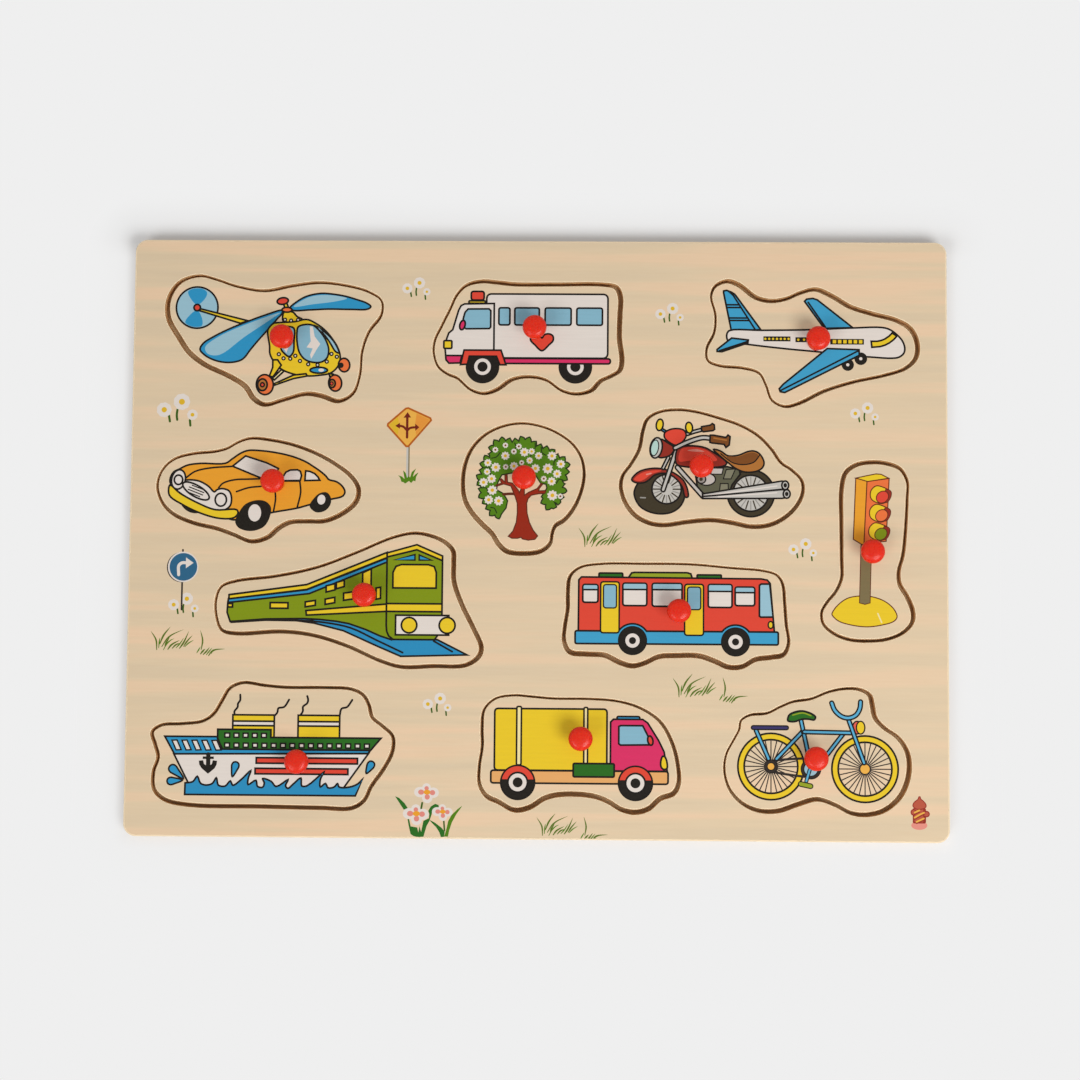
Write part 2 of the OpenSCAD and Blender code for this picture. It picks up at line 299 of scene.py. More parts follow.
@dataclass
class Artwork:
    """Flat inks painted one over another on a grid of 100 by 100 units.

    Args:
        centre: the grid's centre on the board, in millimetres.
        size: the grid's width and height in millimetres.
        line: the usual width of an outline, in millimetres.
        layers: what has been painted, the last on top.
    """

    centre: Point = (0.0, 0.0)
    size: Point = (100.0, 100.0)
    line: float = 0.7
    layers: list[tuple[Array, Ink]] = field(default_factory=list)

    def place(self, points: list[Point]) -> Array:
        """Turns grid points into millimetres on the board."""
        return np.array(self.centre) + np.array(points, float) * np.array(self.size) / GRID

    def paint(self, ring: Array, ink: Ink, line: float | None, edge: Ink = Ink.LINE) -> None:
        """Paints a ring that is already in millimetres, over its outline.

        Args:
            ring: its points in order.
            ink: what fills it.
            line: the outline's width, none for the usual one.
            edge: the outline's ink.
        """
        line = self.line if line is None else line
        if line > 0:
            self.layers.append((grown(ring, line / 2), edge))
            ring = grown(ring, -line / 2)
        self.layers.append((ring, ink))

    def area(self, ink: Ink, points: list[Point], line: float | None = None, edge: Ink = Ink.LINE) -> None:
        """Paints a shape with straight edges."""
        self.paint(self.place(points), ink, line, edge)

    def blob(self, ink: Ink, points: list[Point], line: float | None = None, edge: Ink = Ink.LINE) -> None:
        """Paints a shape with a smooth edge."""
        self.paint(curve(self.place(points), True), ink, line, edge)

    def disc(
        self, ink: Ink, x: float, y: float, r: float, ry: float | None = None,
        turn: float = 0.0, line: float | None = None, edge: Ink = Ink.LINE,
    ) -> None:
        """Paints a circle, or an ellipse.

        Args:
            ink: what fills it.
            x: its centre on the grid.
            y: its centre on the grid.
            r: its radius across, in hundredths of the grid's width.
            ry: its radius up, in hundredths of the grid's height, none for a circle.
            turn: how far an ellipse is turned, in degrees.
            line: the outline's width in millimetres, none for the usual one.
            edge: the outline's ink.
        """
        wide = r * self.size[0] / GRID
        high = wide if ry is None else ry * self.size[1] / GRID
        corners = max(12, min(48, int(10 + 5 * wide)))
        angle = np.linspace(0, 2 * math.pi, corners, endpoint=False)
        ring = np.stack([wide * np.cos(angle), high * np.sin(angle)], 1)
        c, s = math.cos(math.radians(turn)), math.sin(math.radians(turn))
        self.paint(self.place([(x, y)]) + ring @ np.array([[c, s], [-s, c]]), ink, line, edge)

    def panel(
        self, ink: Ink, x0: float, y0: float, x1: float, y1: float,
        corner: float = 0.0, line: float | None = None, edge: Ink = Ink.LINE,
    ) -> None:
        """Paints an upright box.

        Args:
            ink: what fills it.
            x0: its left side on the grid.
            y0: its lower side.
            x1: its right side.
            y1: its upper side.
            corner: its corners' radius in millimetres.
            line: the outline's width in millimetres, none for the usual one.
            edge: the outline's ink.
        """
        low, high = self.place([(x0, y0), (x1, y1)])
        if corner <= 0:
            ring = np.array([low, (high[0], low[1]), high, (low[0], high[1])])
        else:
            quarter = np.arange(16) // 4
            angle = np.radians(quarter * 90 + np.tile(np.arange(4) * 30, 4))
            way = np.array([(1, 1), (-1, 1), (-1, -1), (1, -1)])[quarter]
            middle, half = (low + high) / 2, (high - low) / 2 - corner
            ring = middle + way * half + corner * np.stack([np.cos(angle), np.sin(angle)], 1)
        self.paint(ring, ink, line, edge)

    def stroke(self, points: list[Point], width: float, ink: Ink = Ink.LINE, smooth: bool = True) -> None:
        """Paints a line with round ends.

        Args:
            points: where it runs on the grid.
            width: its width in millimetres.
            ink: its ink.
            smooth: whether it bends smoothly.
        """
        run = self.place(points)
        if smooth and len(run) > 2:
            run = curve(run, False, 4)
        ahead, left = headings(run)
        out = left * width / 2
        first, last = ahead[0] * width / 2, ahead[-1] * width / 2
        caps = [(0.5, 0.87), (0.87, 0.5), (1, 0), (0.87, -0.5), (0.5, -0.87)]
        end = [run[-1] + last * a + out[-1] * b for a, b in caps]
        start = [run[0] - first * a - out[0] * b for a, b in caps]
        self.layers.append((np.vstack([run + out, end, (run - out)[::-1], start]), ink))

    def tube(
        self, points: list[Point], width: float, ink: Ink, smooth: bool = True, line: float | None = None,
    ) -> None:
        """Paints a line that has outlines of its own.

        Args:
            points: where it runs on the grid.
            width: its width in millimetres, between the middles of its outlines.
            ink: what fills it.
            smooth: whether it bends smoothly.
            line: the outlines' width in millimetres, none for the usual one.
        """
        line = self.line if line is None else line
        self.stroke(points, width + line, Ink.LINE, smooth)
        self.stroke(points, width - line, ink, smooth)

    def daisy(
        self, x: float, y: float, r: float, lobe: float = 0.03, heart: Ink = Ink.HONEY,
        petals: int = 9, middle: float = 36,
    ) -> None:
        """Paints a small open flower.

        Args:
            x: its centre on the grid.
            y: its centre on the grid.
            r: its radius in millimetres.
            lobe: how deep its petals are parted, as a share of the radius.
            heart: the ink of its middle.
            petals: how many petals it has.
            middle: the radius of its middle, in hundredths of its own.
        """
        angle = np.linspace(0, 2 * math.pi, 6 * petals, endpoint=False)
        reach = r * (1 - lobe + lobe * np.cos(petals * angle + x))
        ring = reach[:, None] * np.stack([np.cos(angle), np.sin(angle)], 1)
        self.layers.append((self.place([(x, y)]) + ring, Ink.WHITE))
        self.disc(heart, x, y, middle * r / self.size[0], line=0)

    def blade(self, points: list[Point], width: float, ink: Ink) -> None:
        """Paints a leaf that widens from its foot and thins to a point at its tip.

        Args:
            points: where it runs on the grid, from its foot.
            width: its greatest width in millimetres.
            ink: its ink.
        """
        run = curve(self.place(points), False, 4)
        share = np.linspace(0, 1, len(run))
        widening, thinning = 0.45 + 1.4 * share, 1.06 - 0.98 * share**3
        wide = width / 2 * np.minimum(widening, thinning)
        out = headings(run)[1] * wide[:, None]
        self.layers.append((np.vstack([run + out, (run - out)[::-1]]), ink))


@dataclass
class InkedMesh:
    """Points and inked faces that become one mesh.

    Args:
        points: its points in millimetres.
        shapes: each face's points, as their numbers.
        inks: each face's ink.
    """

    points: list[Place] = field(default_factory=list)
    shapes: list[Face] = field(default_factory=list)
    inks: list[Tint] = field(default_factory=list)

    def fill(self, shape: Face, ink: Tint) -> None:
        """Adds one inked face."""
        self.shapes.append(shape)
        self.inks.append(ink)

    def make(self, name: str) -> bpy.types.Object:
        """Makes the mesh, with its inks as a colour attribute.

        Args:
            name: the mesh's name.

        Returns:
            The object that holds it.
        """
        mesh = bpy.data.meshes.new(name)
        mesh.from_pydata([tuple(c * MM for c in p) for p in self.points], [], self.shapes)
        corners = np.repeat(np.array(self.inks), [len(shape) for shape in self.shapes], 0)
        mesh.color_attributes.new("ink", "FLOAT_COLOR", "CORNER").data.foreach_set("color", corners.ravel())
        made = bpy.data.objects.new(name, mesh)
        bpy.context.scene.collection.objects.link(made)
        return made


@dataclass
class PrintSheet:
    """A thin printed sheet with eased edges, which stands for one print node of the frame.

    Args:
        node: the print node that it stands for.
        body: the body that carries it.
        slot: a material slot's name, which is not used.
        art: what is printed on it.
        steps: the rounding of its upper edge, each step with how far it lies outside the flat
        top and how far below it, in millimetres, and its ink; the pale ink of the first step is
        a painted highlight.
        trim: the ink of the last step round the sheet's own outline.
    """

    node: str
    body: str
    slot: str
    art: Artwork
    # The first step's pale cream ink is a painted highlight along the rim; the second is the scorched cut
    # edge
    steps: tuple[tuple[float, float, Ink], ...] = ((0.3, 0.08, Ink.EDGE_HIGHLIGHT), (0.52, 0.18, Ink.SCORCH))
    trim: Ink = Ink.SCORCH

    def rims(self) -> list[Array]:
        """Reads the rings that bound the node's top face.

        Returns:
            The rings in millimetres, the outline first and then the holes.
        """
        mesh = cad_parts[self.node].data
        spots = np.round(np.array([v.co for v in mesh.vertices], float) / MM, DECIMALS)
        _, same = np.unique(spots, axis=0, return_inverse=True)
        same = same.ravel()
        where = {int(n): spots[i] for i, n in enumerate(same)}
        top = spots[:, 2].max() - 10 * SAME
        edges = set()
        for face in mesh.polygons:
            ring = [int(same[i]) for i in face.vertices]
            if all(where[n][2] > top for n in ring):
                edges |= set(zip(ring, ring[1:] + ring[:1]))
        after = {a: b for a, b in edges if (b, a) not in edges}
        return sorted(
            (np.array([where[n][:2] for n in loop]) for loop in loops_of(after)),
            key=lambda ring: -np.ptp(ring, axis=0).max(),
        )

    def build(self, finish: Material) -> bpy.types.Object:
        """Makes the sheet's mesh, inks it and puts it on its body.

        Args:
            finish: the printed finish.

        Returns:
            The sheet.
        """
        low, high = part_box(self.node)
        levels = (low.z / MM, high.z / MM)
        spots, faces, inks = self.top()
        used = np.unique(faces)
        number = {int(n): i for i, n in enumerate(used)}
        made = InkedMesh([(*spots[n], levels[1]) for n in used])
        for face, ink in zip(faces, inks):
            made.fill(tuple(number[int(n)] for n in face), tuple(ink))
        sides = {(int(f[k]), int(f[k - 2])) for f in faces for k in range(3)}
        loops = loops_of({a: b for a, b in sides if (b, a) not in sides})
        longest = max(loops, key=lambda loop: np.ptp(spots[loop], axis=0).max())
        outer = []
        for loop in loops:
            above = [number[n] for n in loop]
            outer.append(self.edge(made, spots[loop], above, levels, loop is longest))
        self.close(made, outer, levels[0])
        sheet = made.make(self.node + "_sheet")
        self.dress(sheet, finish)
        return sheet

    def top(self) -> tuple[Array, Array, Array]:
        """Cuts the flat top into inked triangles.

        Returns:
            Points, three point numbers for each triangle, and each triangle's ink.
        """
        ease = self.steps[-1][0]
        inner = [grown(ring, ease if k else -ease) for k, ring in enumerate(self.rims())]
        spots, faces = triangles(inner + [ring for ring, _ in self.art.layers])
        middles = spots[faces].mean(1)
        keep = covers(inner[0], middles)
        for ring in inner[1:]:
            keep &= ~covers(ring, middles)
        faces, middles = faces[keep], middles[keep]
        inks = np.tile(Ink.BARE.linear(), (len(faces), 1))
        for ring, ink in self.art.layers:
            inks[covers(ring, middles)] = ink.linear()
        return spots, faces, inks

    def edge(
        self, made: InkedMesh, rim: Array, above: list[int], levels: Span, outline: bool,
    ) -> Array:
        """Rounds the sheet down from its flat top, and sets a wall under the rounding.

        Args:
            made: the mesh, which is added to.
            rim: the ring that bounds the flat top here.
            above: the numbers of that ring's points in the mesh.
            levels: the heights of the sheet's underside and top, in millimetres.
            outline: whether the ring is the sheet's outline and not a hole's.

        Returns:
            The ring at the foot of the wall.
        """
        low, high = levels
        wall = (self.steps[-1][0], high - low, Ink.CORE)
        for reach, drop, ink in (*self.steps, wall):
            if outline and ink is Ink.SCORCH:
                ink = self.trim
            ring = mitred(rim, reach)
            below = list(range(len(made.points), len(made.points) + len(ring)))
            made.points += [(*p, high - drop) for p in ring]
            for i in range(len(ring)):
                j = (i + 1) % len(ring)
                made.fill((above[j], above[i], below[i], below[j]), ink.linear())
            above = below
        return ring

    def close(self, made: InkedMesh, outer: list[Array], level: float) -> None:
        """Closes the sheet's underside, which is glued to the wood.

        Args:
            made: the mesh, whose lower rings are used again and which is added to.
            outer: the rings at the foot of its walls.
            level: the height of the underside in millimetres.
        """
        held = {tuple(np.round(p, DECIMALS)): i for i, p in enumerate(made.points)}
        spots, faces = triangles(outer)
        middles = spots[faces].mean(1)
        around = np.sum([covers(ring, middles) for ring in outer], axis=0)
        for face in faces[around == 1]:
            ring = []
            for n in face[::-1]:
                spot = (*spots[n], level)
                key = tuple(np.round(spot, DECIMALS))
                if key not in held:
                    held[key] = len(made.points)
                    made.points.append(spot)
                ring.append(held[key])
            made.fill(tuple(ring), Ink.CORE.linear())

    def dress(self, sheet: bpy.types.Object, finish: Material) -> None:
        """Gives the sheet its finish, and puts it on its body in place of the print node.

        Args:
            sheet: the sheet.
            finish: the printed finish.
        """
        sheet.data.materials.append(finish)
        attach(sheet, self.body)
        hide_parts(self.node)


class Shading:
    """Grows the shader nodes of one material."""

    def __init__(self, name: str) -> None:
        """Starts a material whose surface is one Principled shader.

        Args:
            name: the material's name.
        """
        self.material = bpy.data.materials.new(name)
        self.material.use_nodes = True
        self.tree = self.material.node_tree
        self.tree.nodes.clear()
        self.surface = self.node("ShaderNodeBsdfPrincipled")
        self.out = self.node("ShaderNodeOutputMaterial", {"Surface": self.surface.outputs[0]})
        self.where = self.node("ShaderNodeTexCoord").outputs["Object"]

    def node(self, kind: str, inputs: dict | None = None, **settings: object) -> bpy.types.Node:
        """Adds one node.

        Args:
            kind: its type.
            inputs: values or sockets for its inputs, by name or number.
            settings: its own settings.

        Returns:
            The node.
        """
        made = self.tree.nodes.new(kind)
        for name, value in settings.items():
            setattr(made, name, value)
        for key, value in (inputs or {}).items():
            self.feed(made.inputs[key], value)
        return made

    def feed(self, socket: Socket, value: object) -> None:
        """Sets an input, or links it to another node's output.

        Args:
            socket: the input.
            value: its value, or the output that it is linked to.
        """
        if isinstance(value, Socket):
            self.tree.links.new(value, socket)
        else:
            socket.default_value = value

    def dress(self, **inputs: object) -> None:
        """Sets the surface's inputs, with underscores for the spaces in their names."""
        for name, value in inputs.items():
            self.feed(self.surface.inputs[name.replace("_", " ")], value)

    def noise(self, stretch: Place, detail: float = 3.0) -> Socket:
        """Adds noise.

        Args:
            stretch: how many features it has to a metre along each axis.
            detail: how many times finer noise is laid over it.

        Returns:
            The noise, from nought to one.
        """
        spot = self.node("ShaderNodeMapping", {"Vector": self.where, "Scale": stretch})
        grain = self.node("ShaderNodeTexNoise", {"Vector": spot.outputs[0], "Scale": 1.0, "Detail": detail})
        return grain.outputs[0]

    def ramp(self, share: Socket, *stops: tuple[float, int]) -> Socket:
        """Adds a colour ramp.

        Args:
            share: where on the ramp each spot lies.
            stops: the ramp's places, each with its sRGB colour.

        Returns:
            The colour.
        """
        made = self.node("ShaderNodeValToRGB", {0: share})
        line = made.color_ramp.elements
        while len(line) < len(stops):
            line.new(0.5)
        for stop, (spot, colour) in zip(line, stops):
            stop.position = spot
            stop.color = (*linear(colour), 1.0)
        return made.outputs[0]

    def mix(self, share: object, under: object, over: object) -> Socket:
        """Lays one colour over another.

        Args:
            share: how far the upper colour covers the lower one.
            under: the lower colour, as an sRGB number or an output.
            over: the upper colour.

        Returns:
            The colour.
        """
        made = self.node("ShaderNodeMix", {0: share}, data_type="RGBA")
        for key, value in ((6, under), (7, over)):
            self.feed(made.inputs[key], (*linear(value), 1.0) if isinstance(value, int) else value)
        return made.outputs[2]

    def math(self, how: str, a: object, b: object = 0.0) -> Socket:
        """Adds one sum."""
        return self.node("ShaderNodeMath", {0: a, 1: b}, operation=how).outputs[0]

    def vector(self, how: str, a: object, b: object = (0.0, 0.0, 0.0)) -> Socket:
        """Adds one sum of vectors."""
        return self.node("ShaderNodeVectorMath", {0: a, 1: b}, operation=how).outputs[0]

    def span(
        self, value: object, start: float, stop: float, low: object, high: object, soft: bool = False,
    ) -> Socket:
        """Spreads a range of a value over another range.

        Args:
            value: the value.
            start: where its range starts.
            stop: where its range ends.
            low: what it becomes at the start and before.
            high: what it becomes at the end and after.
            soft: whether it eases in and out.

        Returns:
            The new value.
        """
        inputs = {"Value": value, 1: start, 2: stop, 3: low, 4: high}
        kind = "SMOOTHSTEP" if soft else "LINEAR"
        return self.node("ShaderNodeMapRange", inputs, interpolation_type=kind).outputs[0]

    def between(self, noise: Socket, low: float, high: float) -> Socket:
        """Spreads a noise over a range."""
        return self.span(noise, *NOISE, low, high)

    def axis(self, number: int) -> Socket:
        """Takes the place along X, Y or Z, numbered from nought."""
        return self.node("ShaderNodeSeparateXYZ", {0: self.where}).outputs[number]

    def flat(self) -> Socket:
        """Tells flat faces from walls.

        Returns:
            One on a face that looks up or down, and nought on a wall.
        """
        normal = self.node("ShaderNodeNewGeometry").outputs["Normal"]
        up = self.node("ShaderNodeSeparateXYZ", {0: normal}).outputs[2]
        return self.math("GREATER_THAN", self.math("ABSOLUTE", up), UPRIGHT)

    def bump(self, height: Socket, depth: float, strength: float) -> Socket:
        """Raises the surface by a height, to a depth in metres."""
        made = self.node("ShaderNodeBump", {"Height": height, "Distance": depth, "Strength": strength})
        return made.outputs[0]


def backdrop(tree: bpy.types.NodeTree) -> Socket:
    """Tells the rays that see the backdrop, in the camera, in gloss or through glass.

    Args:
        tree: the nodes of the floor or of the world.

    Returns:
        One for such a ray, and nought for the rest.
    """
    path = tree.nodes.new("ShaderNodeLightPath")
    seen = path.outputs["Is Camera Ray"]
    for kind in ("Is Glossy Ray", "Is Transmission Ray"):
        most = tree.nodes.new("ShaderNodeMath")
        most.operation = "MAXIMUM"
        tree.links.new(seen, most.inputs[0])
        tree.links.new(path.outputs[kind], most.inputs[1])
        seen = most.outputs[0]
    return seen


@dataclass(frozen=True)
class PrintedGrain:
    """Satin printed paper: inks over a printed pale wood grain.

    Args:
        pale: the grain's lighter streaks.
        middle: its ground.
        warm: its peach streaks.
        dark: its fine fibres.
        fleck: the fine pale flecks in the inks.
        soot: the fibres where they show through the inks.
        streaks: the features to a metre of the streaks, along each axis.
        clouds: those of the patches where the streaks fade.
        fibres: those of the fibres.
        flecks: those of the flecks.
        gloss: its roughness, least and most.
        shine: how much light it throws back.
        relief: the fibres' depth in metres.
    """

    pale: int = 0xD4C0A2
    middle: int = 0xDAC4A4
    warm: int = 0xE4C5A4
    dark: int = 0xB8946A
    fleck: int = 0xE4D8C8
    soot: int = 0x3C3228
    streaks: Place = (6.0, 150.0, 1.0)
    clouds: Place = (9.0, 16.0, 1.0)
    fibres: Place = (70.0, 1300.0, 1.0)
    flecks: Place = (1500.0, 1500.0, 1.0)
    gloss: Span = (0.42, 0.56)
    shine: float = 0.1
    relief: float = 0.00002

    def material(self) -> Material:
        """Makes the finish.

        Returns:
            The material.
        """
        made = Shading("printed_grain")
        streak = made.noise(self.streaks, 2.0)
        cloud = made.noise(self.clouds, 2.0)
        fibre = made.noise(self.fibres, 4.0)
        speck = made.noise(self.flecks, 2.0)
        wood = made.ramp(streak, (0.4, self.pale), (0.5, self.middle), (0.6, self.warm))
        wood = made.mix(made.between(cloud, 0.0, 0.6), wood, self.middle)
        wood = made.mix(made.between(fibre, 0.0, 0.08), wood, self.dark)
        ink = made.node("ShaderNodeAttribute", attribute_name="ink")
        tone = made.mix(made.between(speck, 0.0, 0.008), ink.outputs["Color"], self.fleck)
        tone = made.mix(made.between(fibre, 0.0, 0.05), tone, self.soot)
        made.dress(
            Base_Color=made.mix(ink.outputs["Alpha"], wood, tone),
            Roughness=made.between(speck, *self.gloss),
            Specular_IOR_Level=self.shine,
            Normal=made.bump(fibre, self.relief, 0.6),
        )
        return made.material


@dataclass(frozen=True)
class CutWood:
    """Fibreboard with scorched cut walls.

    Args:
        name: the finish's name.
        scorch: the darkest of a cut wall.
        toast: the lightest of a cut wall.
        board: the board's own colour on its faces.
        light: the lighter fibres there.
        dusk: the darker patches there.
        sanded: the colour of the sawn and sanded outer edge, none where the piece has no such edge.
        rim: how far in from the board's outline that edge reaches, in metres.
        soots: the features to a metre of the scorching, along each axis.
        felts: those of the fibres.
        patches: those of the patches.
        gloss: its roughness, least and most.
        shine: how much light it throws back.
        relief: the fibres' depth in metres.
    """

    name: str
    scorch: int = 0xC8965E
    toast: int = 0xEAC48E
    board: int = 0xB48E60
    light: int = 0xC8A678
    dusk: int = 0x9C7648
    sanded: int | None = None
    rim: float = 0.003
    soots: Place = (420.0, 420.0, 70.0)
    felts: Place = (900.0, 900.0, 900.0)
    patches: Place = (60.0, 60.0, 200.0)
    gloss: Span = (0.7, 0.9)
    shine: float = 0.25
    relief: float = 0.00005

    def material(self) -> Material:
        """Makes the finish.

        Returns:
            The material.
        """
        made = Shading(self.name)
        soot = made.noise(self.soots, 4.0)
        felt = made.noise(self.felts)
        patch = made.noise(self.patches)
        wall = made.ramp(soot, (0.25, self.scorch), (0.75, self.toast))
        if self.sanded is not None:
            gaps = [
                made.math("SUBTRACT", half, made.math("ABSOLUTE", made.axis(k)))
                for k, half in enumerate(BOARD)
            ]
            outer = made.math("LESS_THAN", made.math("MINIMUM", *gaps), self.rim)
            edge = made.ramp(patch, (0.35, self.board), (0.65, self.sanded))
            wall = made.mix(outer, wall, edge)
        face = made.ramp(felt, (0.32, self.board), (0.68, self.light))
        face = made.mix(made.between(patch, 0.0, 0.3), face, self.dusk)
        made.dress(
            Base_Color=made.mix(made.flat(), wall, face),
            Roughness=made.between(soot, *self.gloss),
            Specular_IOR_Level=self.shine,
            Normal=made.bump(felt, self.relief, 0.7),
        )
        return made.material


@dataclass(frozen=True)
class PlyBacking:
    """Thin pale plywood, with its grain along the board.

    Args:
        light: the grain's lighter wood.
        dark: the grain's darker wood.
        glue: the thin lines between the layers at its edge.
        thick: the sheet's thickness in metres.
        plies: how many layers it has.
        seam: the share of each layer that its glue line takes.
        grains: the features to a metre of the grain, along each axis.
        pores: those of the pores.
        gloss: its roughness, least and most.
        shine: how much light it throws back.
        relief: the pores' depth in metres.
    """

    light: int = 0xD8BC90
    dark: int = 0xBC9868
    glue: int = 0x8A6236
    thick: float = 0.003
    plies: int = 3
    seam: float = 0.14
    grains: Place = (8.0, 240.0, 1.0)
    pores: Place = (120.0, 2600.0, 1.0)
    gloss: Span = (0.6, 0.78)
    shine: float = 0.3
    relief: float = 0.00005

    def material(self) -> Material:
        """Makes the finish.

        Returns:
            The material.
        """
        made = Shading("ply_backing")
        grain = made.noise(self.grains, 5.0)
        pores = made.noise(self.pores)
        wood = made.ramp(grain, (0.34, self.dark), (0.62, self.light))
        wood = made.mix(made.between(pores, 0.0, 0.22), wood, self.glue)
        layer = made.math("FRACT", made.math("MULTIPLY", made.axis(2), self.plies / self.thick))
        line = made.math("LESS_THAN", layer, self.seam)
        edge = made.mix(line, made.mix(0.35, wood, self.dark), self.glue)
        made.dress(
            Base_Color=made.mix(made.flat(), edge, wood),
            Roughness=made.between(grain, *self.gloss),
            Specular_IOR_Level=self.shine,
            Normal=made.bump(pores, self.relief, 0.8),
        )
        return made.material


@dataclass(frozen=True)
class PegPlastic:
    """Glossy moulded plastic that light sinks into a little.

    Args:
        colour: the plastic's colour.
        worn: the same where handling has dulled it.
        clouds: the features to a metre of the dulled patches, along each axis.
        scuffs: those of the fine scuffs.
        gloss: its roughness, least and most.
        shine: how much light it throws back.
        sunk: the share of light that sinks in.
        depth: how far red, green and blue light sinks in, in metres.
        relief: the scuffs' depth in metres.
    """

    colour: int = 0xD82305
    worn: int = 0xDA2C0A
    clouds: Place = (160.0, 160.0, 160.0)
    scuffs: Place = (900.0, 700.0, 500.0)
    gloss: Span = (0.24, 0.32)
    shine: float = 0.25
    sunk: float = 0.6
    depth: Place = (0.004, 0.0012, 0.0008)
    relief: float = 0.00001

    def material(self) -> Material:
        """Makes the finish.

        Returns:
            The material.
        """
        made = Shading("peg_plastic")
        cloud = made.noise(self.clouds, 2.0)
        scuff = made.noise(self.scuffs)
        made.dress(
            Base_Color=made.mix(made.between(cloud, 0.0, 0.5), self.colour, self.worn),
            Roughness=made.between(scuff, *self.gloss),
            Specular_IOR_Level=self.shine,
            Subsurface_Weight=self.sunk,
            Subsurface_Radius=self.depth,
            Subsurface_Scale=1.0,
            Normal=made.bump(scuff, self.relief, 0.5),
        )
        return made.material


@dataclass(frozen=True)
class PaleFloor:
    """A matt, almost white studio floor, part of whose paleness is its own.

    Args:
        lit: its colour under the lamps.
        shade: the same in its faint clouds.
        clouds: the features to a metre of those clouds, along each axis.
        rough: its roughness.
        shine: how much light it throws back.
        own: the share of its paleness that no shadow takes away beside the puzzle.
        behind: the same behind the puzzle, where its shadow falls.
        turn: where that share changes, from the puzzle's rear edge, in metres.
        touch: what is left of that share where the puzzle stands.
        skirt: how far out from the puzzle that is over, in metres.
        reach: how far out from the puzzle its paleness is all its own, in metres.
    """

    lit: int = 0xEAEAEA
    shade: int = 0xE8E8E8
    clouds: Place = (3.0, 3.0, 3.0)
    rough: float = 0.9
    shine: float = 0.1
    own: float = 0.82
    behind: float = 0.2
    turn: Span = (-0.006, 0.003)
    touch: float = 0.3
    skirt: float = 0.005
    reach: float = 0.02

    def material(self) -> Material:
        """Makes the finish.

        Returns:
            The material.
        """
        made = Shading("pale_floor")
        cloud = made.noise(self.clouds, 2.0)
        tone = made.mix(made.between(cloud, 0.0, 1.0), self.lit, self.shade)
        made.dress(Base_Color=tone, Roughness=self.rough, Specular_IOR_Level=self.shine)
        glow = made.node("ShaderNodeEmission", {"Color": (*linear(PALE), 1.0)})
        seen = made.math("MULTIPLY", backdrop(made.tree), self.share(made))
        either = made.node("ShaderNodeMixShader", {0: seen})
        made.feed(either.inputs[1], made.surface.outputs[0])
        made.feed(either.inputs[2], glow.outputs[0])
        made.feed(made.out.inputs["Surface"], either.outputs[0])
        return made.material

    def share(self, made: Shading) -> Socket:
        """Works out how much of the floor's paleness is its own.

        Args:
            made: the floor's shading.

        Returns:
            The share at each place, which grows outwards from the puzzle.
        """
        side = made.vector("ABSOLUTE", made.where)
        past = made.vector("MAXIMUM", made.vector("SUBTRACT", side, (*BOARD, 0.0)))
        away = made.node("ShaderNodeVectorMath", {0: past}, operation="LENGTH").outputs["Value"]
        start, stop = (BOARD[1] + gone for gone in self.turn)
        least = made.span(made.axis(1), start, stop, self.own, self.behind, True)
        share = made.span(away, 0.0, self.reach, least, 1.0, True)
        return made.math("MULTIPLY", share, made.span(away, 0.0, self.skirt, self.touch, 1.0))


class Finishes:
    """The materials, each made once."""

    def __init__(self) -> None:
        """Makes them."""
        self.print_sheet = PrintedGrain().material()
        self.tray_wood = CutWood("tray_wood", sanded=0xC49C68).material()
        self.piece_wood = CutWood("piece_wood").material()
        self.backing = PlyBacking().material()
        self.peg = PegPlastic().material()
        self.floor = PaleFloor().material()


def wear(worn: dict[str, Material]) -> list[str]:
    """Gives nodes of the frame their finishes.

    Args:
        worn: the finish of each node, by the node's name.

    Returns:
        The nodes' names.
    """
    for node, finish in worn.items():
        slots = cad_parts[node].material_slots
        for slot in slots:
            slot.material = finish
        if not len(slots):
            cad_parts[node].data.materials.append(finish)
    return list(worn)


@dataclass
class PuzzlePiece:
    """One lift-out piece: its blank and peg from the frame, and the picture printed on it.

    Args:
        name: the piece's body in the frame.
        grid: the width and height in millimetres of the grid that the picture is drawn on.
        shift: how far the grid's centre lies from the piece's own, in millimetres.
        line: the usual width of the picture's outlines, in millimetres.
        fine: the width of its finer lines, in millimetres.
        art: the picture, which is drawn as the piece is built.
    """

    name: str = ""
    grid: Point = (0.0, 0.0)
    shift: Point = (0.0, 0.0)
    line: float = 0.7
    fine: float = 0.65
    art: Artwork = field(default_factory=Artwork)

    def draw(self) -> None:
        """Draws the picture on its grid."""
        raise NotImplementedError

    def build(self, finishes: Finishes) -> list[str]:
        """Prints the picture and dresses the piece.

        Args:
            finishes: the materials.

        Returns:
            The names of the pieces that were made or dressed.
        """
        low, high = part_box(f"{self.name}_print")
        middle = (low + high) / 2 / MM
        centre = (middle.x + self.shift[0], middle.y + self.shift[1])
        self.art = Artwork(centre, self.grid, self.line)
        self.draw()
        sheet = PrintSheet(f"{self.name}_print", self.name, "picture_print", self.art)
        return [sheet.build(finishes.print_sheet).name, *self.dress(finishes)]

    def dress(self, finishes: Finishes) -> list[str]:
        """Gives the piece's wood and its peg their finishes, and tells their names."""
        return wear({f"{self.name}_piece": finishes.piece_wood, f"{self.name}_peg": finishes.peg})


